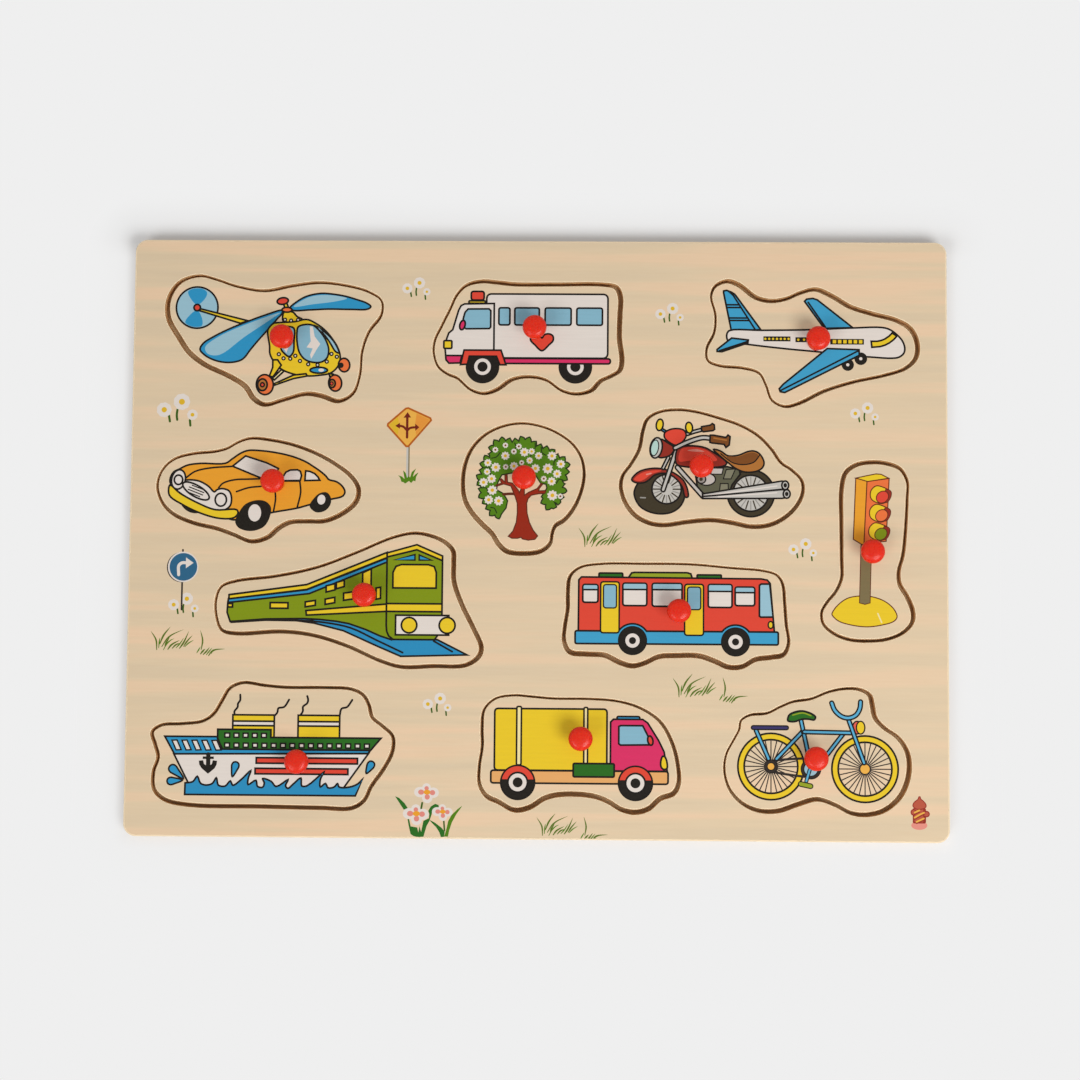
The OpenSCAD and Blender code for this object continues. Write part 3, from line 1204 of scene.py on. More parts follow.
@dataclass
class Helicopter(PuzzlePiece):
    """A yellow helicopter with blue rotors."""

    name: str = "helicopter"
    grid: Point = (80.5, 48.0)
    shift: Point = (-0.42, -0.27)

    def draw(self) -> None:
        """Draws the tail rotor, the blades, the cabin and the wheels."""
        art = self.art
        art.disc(Ink.PALE, -35.7, 25.4, 9.6)
        art.blob(Ink.SKY, [
            (-35.7, 27.6), (-39.3, 33.8), (-40, 38), (-37.8, 40), (-35.7, 40.4), (-33.2, 39.9),
            (-31.3, 37.3), (-31.9, 33.1),
        ], 0)
        art.blob(Ink.SKY, [
            (-35.7, 23.3), (-39.6, 18.5), (-41.1, 14), (-39.1, 11.3), (-35.7, 10.3), (-33.4, 11.3),
            (-33.2, 15.9),
        ], 0)
        art.area(Ink.SUN, [(-34.2, 24.5), (-12.1, 15.3), (-15.6, 13.3), (-34.6, 23)])
        art.disc(Ink.RED, -35.7, 25.4, 1.5)
        self.blades()
        self.cabin()
        self.wheels()

    def blades(self) -> None:
        """Draws the two rotor blades and the shine on them."""
        art = self.art
        left = [
            (3.5, 23.5), (-4.3, 19.8), (-12.4, 14.7), (-20.6, 9), (-28.4, 2.3), (-32.6, -2.5), (-34, -7.2),
            (-31.9, -11.4), (-27.7, -15.2), (-22.7, -17.1), (-17.7, -16.7), (-14.2, -14.4), (-10.6, -6.7),
            (-7.1, 0.5), (-2.8, 8.8), (1.4, 17.1), (3.5, 21.3),
        ]
        art.blob(Ink.SKY, left)
        art.blob(Ink.PALE, [
            (2.6, 21.6), (-12.4, 12.9), (-26, 2.4), (-31.7, -5.6), (-30.5, -10.4), (-25.2, -11.4),
            (-13.5, 2.9), (0.5, 19),
        ], 0)
        right = [
            (7.1, 25.4), (10.6, 30.8), (14.9, 34.7), (21.3, 36.9), (27, 36.3), (32.6, 34.7), (38.3, 31.9),
            (42.2, 29.6), (44.3, 26.8), (42.9, 24.8), (35.5, 24.5), (24.8, 24.7), (16.3, 24), (8.5, 23.6),
        ]
        art.blob(Ink.SKY, right)
        art.blob(Ink.PALE, [
            (8.7, 26.4), (14.9, 33.3), (21.3, 35.6), (29, 34.9), (33.3, 33.1), (28.4, 30.8), (17.7, 28.4),
        ], 0)

    def cabin(self) -> None:
        """Draws the mast, its hub, the cabin, the windows and the rivets."""
        art = self.art
        art.area(Ink.SUN, [(3.6, 31), (4.8, 25), (6.6, 25), (5.2, 31)])
        art.disc(Ink.RED, 3.7, 30.8, 2.6, 2.6, 8)
        art.blob(Ink.SUN, [(4.4, 22.2), (8.4, 22.2), (10.4, 18.8), (12.8, 16.5), (11, 14.1), (4.3, 14.1)])
        art.disc(Ink.ORANGE, 5.7, 24, 2.3, 1.9)
        hull = [
            (-0.4, 13.3), (3.5, 14.1), (9.2, 14.7), (14.9, 16.5), (19.1, 13.5), (23.4, 8.2), (27, 1.1),
            (29.4, -5.5), (30.5, -11.4), (30.4, -16.2), (29.1, -20.9), (26.2, -25.1), (21.3, -26.8),
            (15.6, -27.4), (9.2, -26), (3.5, -22.1), (0, -16.2), (-1.8, -10.2), (-2, -4.3), (-3, 7.6),
            (-2.1, 10.6),
        ]
        art.blob(Ink.SUN, hull)
        art.blob(Ink.PALE, [
            (19.4, 11.2), (24.8, 4.6), (28.2, -2.2), (30, -9.4), (28.4, -8.4), (25.9, -1.9), (23.4, 4),
        ])
        art.blob(Ink.GLASS, [
            (11, 10.6), (13.5, 12.4), (17.7, 12.1), (20.9, 7.6), (23.8, 0.5), (25.2, -6.7), (24.5, -13.2),
            (22, -16.5), (17.7, -16.7), (14.2, -14.4), (11.7, -9), (10.6, -0.7), (10.5, 6.4),
        ])
        art.area(Ink.WHITE, [
            (16.4, 11.2), (17.8, 10.9), (18.6, 3.5), (21.3, -2.5), (19.4, -7.5), (17.2, -14.2), (16.7, -11),
            (17.8, -6), (15, -5.2), (16.9, -0.5), (16.5, 6),
        ], 0)
        door = [
            (3.5, 10), (7.1, 10.9), (9.1, 9.4), (9.2, -0.7), (8.9, -9), (7.1, -12.4), (4.6, -9.6),
            (3.2, -6),
        ]
        art.blob(Ink.GLASS, door)
        art.area(Ink.WHITE, [(4.4, -5.6), (7.4, -2.4), (6.4, -6.4), (5.8, -9.6)], 0)
        for x, y in [
            (4.9, 16.2), (7.7, 15.6), (10.9, 16.2), (2.3, -10.6), (4.5, -13.8), (7.6, -14.1), (9.9, -11.8),
            (12.1, -15.8), (15.9, -18.3), (20.2, -18.8), (24.4, -16.2), (26.5, -10.2), (29, -12.4),
        ]:
            art.disc(Ink.WHITE, x, y, 0.72, line=0.5)
        art.disc(Ink.SKY, 20.8, -22.9, 4, 2.3)
        art.disc(Ink.WHITE, 21.9, -22.8, 1.3, 1.3, line=0)

    def wheels(self) -> None:
        """Draws the struts and the three wheels."""
        art = self.art
        art.area(Ink.SUN, [
            (-0.4, -15), (1.8, -15), (3.5, -19.1), (-0.2, -28.2), (-1.9, -27.8), (-0.4, -20.9),
        ])
        art.area(Ink.CREAM, [(3.6, -22.6), (4.9, -23.6), (0.5, -30.6), (-0.5, -29.4)])
        art.area(Ink.SUN, [
            (0.7, -33.4), (9.2, -26.8), (14.9, -25.7), (15.6, -27.4), (9.2, -29.5), (0.7, -34.6),
        ])
        art.disc(Ink.ORANGE, -3.9, -34.3, 3.9, 7.8, 6)
        art.disc(Ink.TAN, -5, -34.4, 2.2, 4.6)
        art.disc(Ink.RED, -5, -34.4, 0.9, 1.6, line=0.6)
        art.disc(Ink.ORANGE, 32.4, -18.8, 2.6, 5.3, 6)
        art.disc(Ink.BLACK, 31, -19, 1.2, 2.2, line=0)
        art.area(Ink.SUN, [(25.6, -25.4), (27.6, -26), (28.4, -31.6), (26.4, -32)])
        art.disc(Ink.ORANGE, 28.4, -32.8, 3, 6.3, 6)
        art.disc(Ink.TAN, 27, -33.2, 1.5, 3.2)
        art.disc(Ink.RED, 26.8, -33.2, 0.7, 1.3, line=0.4)


@dataclass
class Ambulance(PuzzlePiece):
    """A white van with a red lamp."""

    name: str = "ambulance"
    grid: Point = (70.0, 42.0)
    shift: Point = (0.52, 0.09)

    def draw(self) -> None:
        """Draws the van, its windows, its wheels and a heart on its side."""
        art = self.art
        art.disc(Ink.BLACK, 24.8, -26, 8.9, line=0)
        art.disc(Ink.WHITE, 24.8, -26, 4.4, line=0)
        art.disc(Ink.BLACK, 24.8, -26, 2.7, line=0)
        art.panel(Ink.WHITE, -22.2, -18.3, 41.8, 38.5, 1.6)
        cab = [
            (-18.2, 30), (-33.9, 29.5), (-35.7, 28), (-37, 23.8), (-40, 6.5), (-42.1, 3.6), (-43.2, -1.8),
            (-43.9, -10.7), (-43.6, -16.4), (-18.2, -16.4),
        ]
        art.area(Ink.WHITE, cab)
        art.area(Ink.GLASS, [
            (-32, 25), (-21, 25.2), (-20, 23.6), (-20, 9), (-20.8, 7.7), (-33, 7.4), (-34.6, 9),
            (-34.5, 16.5), (-33.6, 22),
        ])
        art.disc(Ink.MAGENTA, -34.9, 10.7, 1.4, 4.3, -14)
        art.panel(Ink.SUN, -44.6, -10.1, -40.4, -3.2, 0.4)
        art.area(Ink.MAGENTA, [
            (-43.6, -16.4), (-35.1, -16.4), (-35.9, -22.9), (-41.8, -23.2), (-43.4, -20.2),
        ])
        art.panel(Ink.MAGENTA, -12.9, -23.2, 43.2, -18.7, 0.8)
        art.disc(Ink.BLACK, -24.1, -26.2, 8.9, line=0)
        arch = [
            (-33.9, -11.5), (-14.4, -11.5), (-11.8, -24.4), (-15, -24.4), (-16.8, -16.9), (-31.1, -16.9),
            (-32.1, -24), (-35.7, -24.4),
        ]
        art.area(Ink.RED, arch)
        art.disc(Ink.WHITE, -24.1, -26.2, 4.4, line=0)
        art.disc(Ink.BLACK, -24.1, -26.2, 2.7, line=0)
        art.panel(Ink.SUN, -31.6, 30.1, -22.9, 32.3, 0.4)
        art.panel(Ink.RED, -30.4, 33, -23.6, 40.7, 0.8)
        for x0, x1 in [(-15.7, -9.9), (-7.3, 5.6), (8.7, 22.4), (25.4, 38.9)]:
            art.panel(Ink.GLASS, x0, 11, x1, 26.2, 0.7)
        heart = [
            (7.1, -11.8), (3.4, -6.6), (1.2, -2.6), (1.4, 1.4), (3.4, 3.2), (5.8, 2.4), (7.1, -0.4),
            (8.4, 2.4), (10.8, 3.2), (12.8, 1.4), (13, -2.6), (10.8, -6.6),
        ]
        art.blob(Ink.RED, heart)


@dataclass
class Plane(PuzzlePiece):
    """A white airliner with blue wings."""

    name: str = "plane"
    grid: Point = (78.4, 46.4)
    shift: Point = (0.33, 0.29)

    def draw(self) -> None:
        """Draws the tail, the wings, the fuselage and its windows."""
        art = self.art
        art.area(Ink.AZURE, [
            (-41.5, 40.4), (-41.5, 41.9), (-40.1, 42.4), (-37.9, 41), (-36.2, 39.2), (-24, 10.8),
            (-37.9, 10.4),
        ])
        art.stroke([(-39, 41.4), (-37, 38.4), (-26.6, 10.8)], self.fine, smooth=False)
        for y, x0, x1 in [
            (30.8, -40, -34.2), (28.6, -39.8, -33.5), (20.2, -38.9, -30.2), (18.2, -38.7, -29.5),
        ]:
            art.stroke([(x0, y), (x1, y)], self.fine)
        art.area(Ink.AZURE, [(-3.5, 33.8), (-2.5, 35.6), (0.4, 36.2), (2.5, 35), (19.1, 12.8), (5.7, 12.2)])
        art.stroke([(-1.8, 33), (6.2, 13.4)], self.fine)
        body = [
            (-38.7, 10.1), (-23.4, 10.4), (-2.1, 11), (17.7, 12.5), (32.6, 13.1), (36.2, 11.6), (39.7, 7.4),
            (42.2, 2.6), (43.4, -3.4), (42.9, -7.5), (40.8, -10.5), (37.6, -11.5), (26.2, -10.5),
            (22, -10.3), (4.6, -6.9), (-10.6, -4.6), (-29.8, -1), (-39, 1.4), (-39.9, 3.8), (-39.9, 7.4),
        ]
        art.blob(Ink.WHITE, body)
        art.area(Ink.AZURE, [
            (-37.7, 4.1), (-29.9, 2.6), (-30.1, 0.2), (-42.2, -6.9), (-44.5, -6.7), (-44.5, -5.1),
        ])
        art.stroke([(-30.2, 1.4), (-43.4, -6.1)], self.fine)
        for x, y, r in [(16.7, -16.9, 2.9), (22.8, -12, 3)]:
            art.disc(Ink.BLACK, x, y, r, line=0)
            art.disc(Ink.WHITE, x, y, 0.75, line=0)
        art.area(Ink.AZURE, [
            (7.1, -4), (22, -4.8), (22.1, -9.3), (-12.8, -39.3), (-14.9, -38.7), (-15.4, -36.3),
            (-13.5, -32.7),
        ])
        art.stroke([(21.6, -5.7), (-14.5, -37.5)], self.fine)
        for x0, x1, y0, y1, count in [(-22.8, -10.1, 1.6, 5.6, 7), (-7.8, 3, 1, 5, 4)]:
            art.panel(Ink.BLACK, x0, y0, x1, y1, line=0)
            for k in range(count):
                x = x0 + (x1 - x0) * (k + 0.5) / count
                art.disc(Ink.SUN, x, (y0 + y1) / 2, 0.55, line=0)
        art.panel(Ink.BLACK, 8.5, -0.7, 24.3, 3.8, line=0)
        for k in range(6):
            x = 9.7 + 2.45 * k
            art.panel(Ink.SUN, x, 0.2, x + 1.6, 3, line=0)
        art.area(Ink.SUN, [
            (27.7, 2), (28, -2.8), (31.9, -2.2), (34.2, -1), (36.2, 0.8), (38.2, 3.4), (39.7, 6.2),
            (37.5, 8.7), (36.1, 6.2), (34, 3.8), (32.4, 2.7), (30.5, 2),
        ])


@dataclass
class Car(PuzzlePiece):
    """A golden two-door car seen from its front corner."""

    name: str = "car"
    grid: Point = (74.4, 38.4)
    shift: Point = (0.5, -0.49)

    def draw(self) -> None:
        """Draws the body, the glass, the front and the wheels."""
        art = self.art
        art.blob(Ink.BLACK, [
            (-38.6, -12), (-34, -12), (-29, -18), (-29.5, -21.6), (-33, -21.8), (-36.4, -18.4),
        ], 0)
        body = [
            (-42.6, 17), (-39.5, 20.4), (-35.6, 24.1), (-29.2, 25.9), (-16.7, 26.2), (-13.5, 30.3),
            (-9.3, 35.9), (-5.7, 38.6), (0, 38.6), (8.5, 36.6), (16.4, 33.1), (22.8, 28.3), (27, 23.4),
            (30.6, 18.6), (33.1, 14.5), (34.7, 11), (38.4, 9), (41.3, 4.8), (42.7, -0.7), (41.6, -4.8),
            (35.9, -7.9), (25.6, -13.1), (19.2, -16.6), (7.5, -20.7), (-9.3, -27.6), (-13.5, -27.9),
            (-40, -2), (-44.1, 8),
        ]
        art.blob(Ink.GOLD, body)
        art.area(Ink.WHITE, [(-13.2, 23.4), (-6.8, 33.4), (3.6, 26.9), (9.6, 21.4), (8, 14), (0.7, 12.4)])
        art.area(Ink.WHITE, [
            (12.3, 14.8), (13.3, 17.9), (15.5, 20), (19, 20.3), (20.5, 18.8), (21.1, 14.8), (20.5, 10),
            (11.4, 9.6),
        ])
        art.area(Ink.WHITE, [
            (23.1, 19.3), (25.2, 18.8), (27.6, 16.7), (29.2, 13.6), (30.2, 10.3), (22.8, 9.9),
        ])
        for run in [
            [(20.3, 9.4), (20.8, -1.4), (19.2, -15.9)],
            [(8.2, -1.4), (8.4, -8.3), (7.5, -20)],
            [(-19.9, 2.5), (-17.8, 6.9), (-12.1, 10.3), (-5, 11), (0.6, 11.4)],
            [(-11, -1.1), (-5, 2.8), (1.1, 4.1)],
            [(-36.3, 11.7), (-32, 17.9), (-24.9, 21.4), (-13.5, 23.2)],
            [(11.4, 9.4), (20.3, 9.4)],
        ]:
            art.stroke(run, self.fine)
        nose = [
            (-36.7, 9.7), (-29.9, 9), (-25, 4), (-22, -1.4), (-20.6, 0.7), (-17.8, 1.7), (-14.6, -0.7),
            (-13.4, -7.6), (-14.2, -15.2), (-17.8, -19.3), (-23.5, -17.9), (-32, -11), (-39.9, -1.4),
            (-43.4, 5.5),
        ]
        art.blob(Ink.WHITE, nose)
        art.disc(Ink.WHITE, -39.9, 10.3, 3.4, 9.5, -12)
        art.disc(Ink.WHITE, -39.9, 10, 2.1, 4.6)
        art.disc(Ink.WHITE, -18.7, -9, 2.8, 6.2)
        art.disc(Ink.WHITE, -31.1, -0.7, 7.5, 5.4, -30)
        for k in (-1.5, -0.5, 0.5, 1.5):
            half = 3.7 * math.sqrt(1 - (k / 2.2) ** 2)
            x, y = -31.1 + 0.55 * k, -0.7 + 2.3 * k
            art.stroke([(x - half, y + 0.75 * half), (x + half, y - 0.75 * half)], 0.42, Ink.BLACK)
        bumper = [
            (-44.1, 4.8), (-39.1, -2.8), (-29.9, -12.4), (-21.4, -18.6), (-10.7, -18.6), (-10.1, -22.1),
            (-12.1, -26.2), (-19.2, -26.9), (-28.5, -22.1), (-37.7, -13.8), (-44.3, -4.8),
        ]
        art.blob(Ink.SUN, bumper)
        front = [
            (-11.4, -30), (-9.6, -21), (-6.4, -13), (-1, -9.2), (3.6, -10.4), (6.2, -16), (5.6, -26),
            (3, -34.4), (-1.4, -38.4), (-6, -38.6), (-9.8, -35.6),
        ]
        art.blob(Ink.BLACK, front, 0)
        art.disc(Ink.WHITE, -1.8, -21.4, 3.2, 8.3, line=0)
        rear = [
            (25.3, -14.6), (27.4, -7), (30.4, -2), (33.8, -1.4), (35.9, -7), (35.4, -14), (32.6, -19.4),
            (28.4, -20.4),
        ]
        art.blob(Ink.BLACK, rear, 0)
        art.disc(Ink.WHITE, 31.1, -8.3, 2, 4.8, -8, line=0)


@dataclass
class Tree(PuzzlePiece):
    """A tree in flower."""

    name: str = "tree"
    grid: Point = (44.5, 48.0)
    shift: Point = (-0.3, -0.47)
    line: float = 0.5

    def draw(self) -> None:
        """Draws the crown, the trunk and the flowers."""
        art = self.art
        outer = [
            (-17.6, -19.6), (-22, -20.6), (-25.8, -17.9), (-28.6, -13), (-31.6, -8.6), (-34.4, -4),
            (-33.6, 1), (-36.4, 7), (-33.4, 13), (-32.6, 19.4), (-30.8, 22.8), (-26.4, 25), (-25.2, 32.6),
            (-20.4, 36.4), (-15, 37.2), (-9.7, 36), (-4.2, 36.6), (0.6, 38.2), (6, 36.6), (10.8, 33.2),
            (16.9, 31), (22.8, 29.4), (26.8, 25), (31.6, 23.4), (35.6, 19.3), (35.4, 15.4), (34.7, 9.9),
            (31.8, 4.3), (33.4, -0.9), (31.2, -5.1), (30.6, -9), (26.8, -9.8), (23.8, -14.6), (19.3, -12.3),
            (16.6, -7.3),
        ]
        inner = [
            (15.3, -5.9), (19.8, 0.7), (19, 3.7), (14.7, 4.4), (10.3, 10.7), (0, 14), (-11.1, 11.8),
            (-17.5, 10.7), (-20.6, 5.1), (-21.8, -0.7), (-15.9, -3.7), (-12.5, -9.2), (-13.7, -14.7),
        ]
        crown = np.vstack([self.leafy(art.place(outer), 2.5, 1.35), art.place(inner)])
        art.paint(crown, Ink.LEAF, None, Ink.MOSS)
        for run in [
            [(-26, 23.5), (-22, 24.6), (-19, 28)], [(-32.4, 16), (-28, 16.6), (-26.6, 11)],
            [(-34.6, 0.6), (-30, 0.4), (-28.6, -4)], [(-26.4, -14.4), (-23.4, -15), (-21.4, -18.6)],
            [(28.4, 23.4), (25.8, 21.4), (25.4, 18.6)], [(33, 7), (30, 7.6), (27.6, 4.4)],
            [(14.8, 32.2), (15.6, 28), (18.8, 26)], [(-7, 35.4), (-6, 31.6), (-9.4, 29.6)],
            [(9.8, 35.4), (9.8, 31.4), (6, 25)],
        ]:
            art.stroke(run, 0.4, Ink.MOSS)
        art.stroke([(-4.5, -4), (-10, -3.8), (-16, -4.2)], 1.0, Ink.UMBER)
        trunk = [
            (-11.7, -36.4), (-7.9, -32.4), (-5.2, -25.7), (-4.4, -18.4), (-4.5, -11), (-6.3, -5.9),
            (-9.9, 2.2), (-15.9, 3.7), (-22.2, 1.8), (-22.2, 2.8), (-17.5, 4.4), (-19, 7), (-17.9, 7.7),
            (-14.7, 5.1), (-14.9, 10.3), (-13.1, 11), (-12.7, 5.1), (-8.7, 4.4), (-4, -0.7), (-2.8, -2.9),
            (-1.6, -0.5), (-1.4, 9), (1.4, 9), (1.2, -4.8), (4.8, -2.6), (11.9, 0.4), (15.1, 4.4),
            (16.3, 3.7), (13.5, 0.4), (13.1, -1.5), (19, -1.1), (18.3, -3.3), (12.7, -3.7), (7.1, -4.8),
            (4.4, -7.4), (3.2, -11), (3.6, -18.4), (5.6, -25.7), (8.7, -31.6), (12.5, -36), (10.3, -38.6),
            (4.8, -39.3), (0, -38.4), (-1.2, -37.1), (-4, -37.9), (-8.7, -37.9),
        ]
        art.area(Ink.TRUNK, trunk, 0.42, Ink.UMBER)
        for x, y, r in [
            (-23, 30, 2.5), (-14.7, 33.5, 2.4), (-14.7, 25.4, 3.6), (-7.7, 28.8, 2.5), (-3.6, 32.7, 2.5),
            (1, 28.3, 3.8), (7, 28.9, 2.8), (12.8, 25.6, 3.2), (5.4, 21.9, 2.8), (-1.2, 20.2, 2.2),
            (23.8, 25.5, 3.8), (31.2, 19.3, 3.6), (10.2, 15.8, 3.8), (20.4, 15.7, 4.4), (28.2, 11.8, 3.6),
            (17.2, 7.9, 2.5), (23.7, 6, 3.6), (24.4, -4.8, 4.4), (31, -5.5, 2.4), (-7.5, 17.5, 3.6),
            (-14.3, 16.9, 2.4), (-22.5, 16.5, 4), (-29.1, 20, 3.2), (-29.6, 13.1, 2.8), (-25.9, 7.7, 3.8),
            (-32.5, 4.9, 3.8), (-25.2, -1.1, 4.1), (-28.1, -8.5, 3.8), (-19.9, -9.3, 4),
        ]:
            art.daisy(x, y, r * 0.455, 0.12, Ink.HONEY if r > 2.6 else Ink.BROWN)

    def leafy(self, run: Array, pitch: float, depth: float) -> Array:
        """Sets pointed leaf teeth along the left-hand side of a run.

        Args:
            run: the points that the teeth stand on, in millimetres.
            pitch: about how far apart their tips are.
            depth: how far they stand out.

        Returns:
            The toothed line.
        """
        line = curve(run, False, 6)
        gone = np.append(0, np.cumsum(np.linalg.norm(np.diff(line, axis=0), axis=1)))
        teeth = round(gone[-1] / pitch)
        share = np.arange(teeth * 6 + 1) / 6
        spots = np.stack([np.interp(share * gone[-1] / teeth, gone, line[:, k]) for k in range(2)], 1)
        tooth = depth * (1 - np.abs(2 * (share % 1) - 1)) ** 0.75
        return spots + tooth[:, None] * headings(spots)[1]


@dataclass
class Motorcycle(PuzzlePiece):
    """A red motorcycle with a brown seat."""

    name: str = "motorcycle"
    grid: Point = (67.0, 43.0)
    shift: Point = (-0.4, -0.27)
    line: float = 0.65

    def draw(self) -> None:
        """Draws the wheels, the engine, the tank and the bars."""
        self.rear()
        self.front()
        self.top()

    def spokes(self, x: float, y: float, rx: float, ry: float) -> None:
        """Draws a grey spoked disc.

        Args:
            x: its centre on the grid.
            y: its centre on the grid.
            rx: its radius across.
            ry: its radius up.
        """
        art = self.art
        art.disc(Ink.STEEL, x, y, rx, ry)
        for k in range(20):
            c, s = math.cos(k * math.pi / 10), math.sin(k * math.pi / 10)
            ends = [(x + 0.45 * rx * c, y + 0.45 * ry * s), (x + 0.9 * rx * c, y + 0.9 * ry * s)]
            art.stroke(ends, 0.4 if k % 2 else 0.5, Ink.GREY if k % 2 else Ink.TYRE)

    def rear(self) -> None:
        """Draws the rear wheel, the engine and the exhausts."""
        art = self.art
        art.disc(Ink.TYRE, 21.8, -21.2, 12.9)
        self.spokes(21.8, -21.2, 9.7, 15.4)
        engine = [
            (-8.5, -5), (-3.6, 0.5), (9, 1.5), (15.5, -1), (16, -5), (11.6, -14), (10, -21), (-3.6, -23),
            (-7.4, -16),
        ]
        art.area(Ink.SAGE, engine)
        art.area(Ink.STEEL, [(0.4, 0.2), (6.8, 0.2), (6, -5), (0, -5)], 0.4)
        art.area(Ink.PEWTER, [(8.4, -1), (13.4, -0.4), (11, -9), (6.8, -9)], 0.4)
        art.area(Ink.PEWTER, [(5.2, -13), (9.4, -13), (9.6, -20), (4.6, -20.6)], 0.4)
        art.disc(Ink.STEEL, -2.4, -9.4, 4.9, 5.2, line=0.5)
        art.disc(Ink.GREY, -5.2, -9.4, 2.4, 3.6, line=0.5)
        art.disc(Ink.TYRE, -5.4, -9.4, 1, 1.6, line=0)
        art.tube([(-18.3, 0.6), (-4.3, -24)], 1.6, Ink.STEEL)
        art.area(Ink.STEEL, [
            (-4.6, -22), (38.7, -10.6), (41.2, -11.2), (42.1, -14.3), (40.8, -17.3), (-4.3, -24.8),
        ])
        art.stroke([(0, -22.9), (36, -14.8)], 0.4, Ink.WHITE)
        art.area(Ink.STEEL, [
            (-4.6, -24.2), (38.7, -17.9), (42.3, -18.2), (42.8, -21.2), (41.9, -24.6), (38.7, -25.4),
            (-4.3, -26),
        ])
        art.stroke([(4, -24.4), (36, -20.6)], 0.4, Ink.WHITE)
        for x, y in [(40.6, -14.2), (41.4, -21.6)]:
            art.disc(Ink.STEEL, x, y, 1.9, 3.7)
            art.disc(Ink.BLACK, x, y, 1, 2, line=0)

    def front(self) -> None:
        """Draws the front wheel, its mudguard and the fork."""
        art = self.art
        tyre = [
            (-41.9, -20.1), (-41.2, -26.8), (-38.3, -33.5), (-33, -37.9), (-27.2, -39.3), (-21.5, -37.9),
            (-17.2, -33.5), (-14.7, -26.8), (-14.3, -21.2), (-15.8, -14.5), (-19.3, -7.8), (-25.1, -4.5),
            (-32.2, -6.7), (-38.7, -11.2),
        ]
        art.blob(Ink.TYRE, tyre)
        self.spokes(-24.2, -18.1, 8, 12.5)
        art.stroke([(-38.4, -25.4), (-35.8, -25.6)], 0.5, Ink.GREY)
        guard = [
            (-43.3, -10), (-39.4, -3.3), (-32.2, -0.3), (-25.1, -1.1), (-19.3, -5), (-14.7, -11.2),
            (-12.5, -20.1), (-12.5, -24.6), (-14, -24.8), (-15.8, -15.6), (-20.1, -7.8), (-25.1, -4.5),
            (-30.8, -6.1), (-33.7, -10), (-36.5, -12.5), (-41.5, -12.5),
        ]
        art.blob(Ink.BRICK, guard)
        art.blob(Ink.RED, [
            (-42, -10), (-38.6, -4.9), (-32.4, -2.2), (-27, -2.2), (-32.6, -5.4), (-36.2, -9.6),
            (-39, -11.4),
        ], 0)
        art.stroke([(-35.2, -5.6), (-32.8, -4.6)], 0.5, Ink.ROSE)
        art.tube([(-23.3, 8.9), (-26.1, 0)], 1.1, Ink.STEEL)
        art.tube([(-18.6, 16.7), (-26.1, -18.6)], 1.5, Ink.STEEL)

    def top(self) -> None:
        """Draws the lamp, the tank, the seat, the bars and the indicators."""
        art = self.art
        art.blob(Ink.BRICK, [
            (-27.5, 24.6), (-24, 22), (-20.1, 17.3), (-21.4, 12.4), (-24, 9.8), (-28.7, 9.5),
        ])
        art.disc(Ink.STEEL, -30, 17.3, 3.3, 8.9, -10)
        art.disc(Ink.MINT, -30.8, 17.3, 2.1, 6.9, -10, 0.4)
        tank = [
            (-17.9, 17.9), (-14.4, 19), (-10.7, 19.3), (-3.6, 17.9), (1.1, 14), (8.6, 5), (7.9, 2.8),
            (3.6, 1.1), (-13.6, 1.1), (-19, 3.9),
        ]
        art.blob(Ink.BRICK, tank)
        art.blob(Ink.RED, [
            (-16.4, 16), (-10.7, 18), (-4, 16.4), (0.4, 12.6), (3.4, 7), (-4, 6), (-12, 6.4), (-17.4, 6),
        ], 0)
        art.blob(Ink.ROSE, [(-13, 15.2), (-8, 16.4), (-3.6, 14.4), (-8, 14.2)], 0)
        seat = [
            (1.4, 16.2), (5, 15.1), (9.3, 10.9), (15, 11.4), (20.1, 14.5), (23.3, 15.1), (26.5, 12.8),
            (29, 5.6), (28.3, 1.1), (25.1, -2.2), (18.6, -3), (13.6, 0), (9.3, 5), (5, 10.6),
        ]
        art.blob(Ink.TAN, seat)
        art.blob(Ink.BROWN, [
            (8.4, 10), (15, 10.2), (20.1, 13.2), (23.3, 13.8), (26, 11.4), (23.6, 6), (17.9, 3.7),
            (12.4, 5.2),
        ], 0)
        art.stroke([(5.4, 12.6), (9.4, 7.4), (12.4, 4.6), (17.9, 3.3), (23.6, 5.6), (26.6, 11.4)], 0.45)
        cowl = [
            (-25.4, 30.1), (-22.9, 32.9), (-18.6, 34), (-14.7, 32.4), (-13.6, 27.9), (-15.8, 22.3),
            (-19.3, 19.7), (-22.9, 22.3), (-25.4, 26.2),
        ]
        art.tube([(-27.4, 33.6), (-24.6, 31)], 0.8, Ink.SKY)
        art.tube([(-12.6, 31.4), (-14.6, 30)], 0.8, Ink.SKY)
        art.tube([(-13.3, 29.2), (-8.9, 31.5), (-4.6, 33.3)], 1.1, Ink.STEEL)
        art.blob(Ink.RED, cowl)
        art.disc(Ink.SUN, -28.1, 37.1, 1.9, 5, -8)
        art.disc(Ink.SUN, -12, 34.8, 1.9, 4.7, 6)
        art.tube([(-19.6, 17.3), (-13.6, 21.8), (-7.9, 25.1), (-4.3, 26.3), (0.4, 25.7)], 1.5, Ink.STEEL)
        art.area(Ink.BROWN, [
            (-0.4, 28.5), (1.4, 28.5), (8.2, 26.6), (9.3, 28.7), (10.5, 27.3), (10, 20.1), (8.2, 17.9),
            (7.2, 20.6), (0.4, 21.8), (-0.6, 22.3),
        ])
        art.stroke([(1.6, 26), (8.4, 24.2)], 0.5, Ink.TAN)
        art.area(Ink.BROWN, [
            (-5.2, 35.7), (-0.4, 37.1), (0.7, 38.5), (1.8, 37.4), (2, 33.5), (1.1, 32.4), (-4.3, 31.3),
            (-5.2, 32.9),
        ])


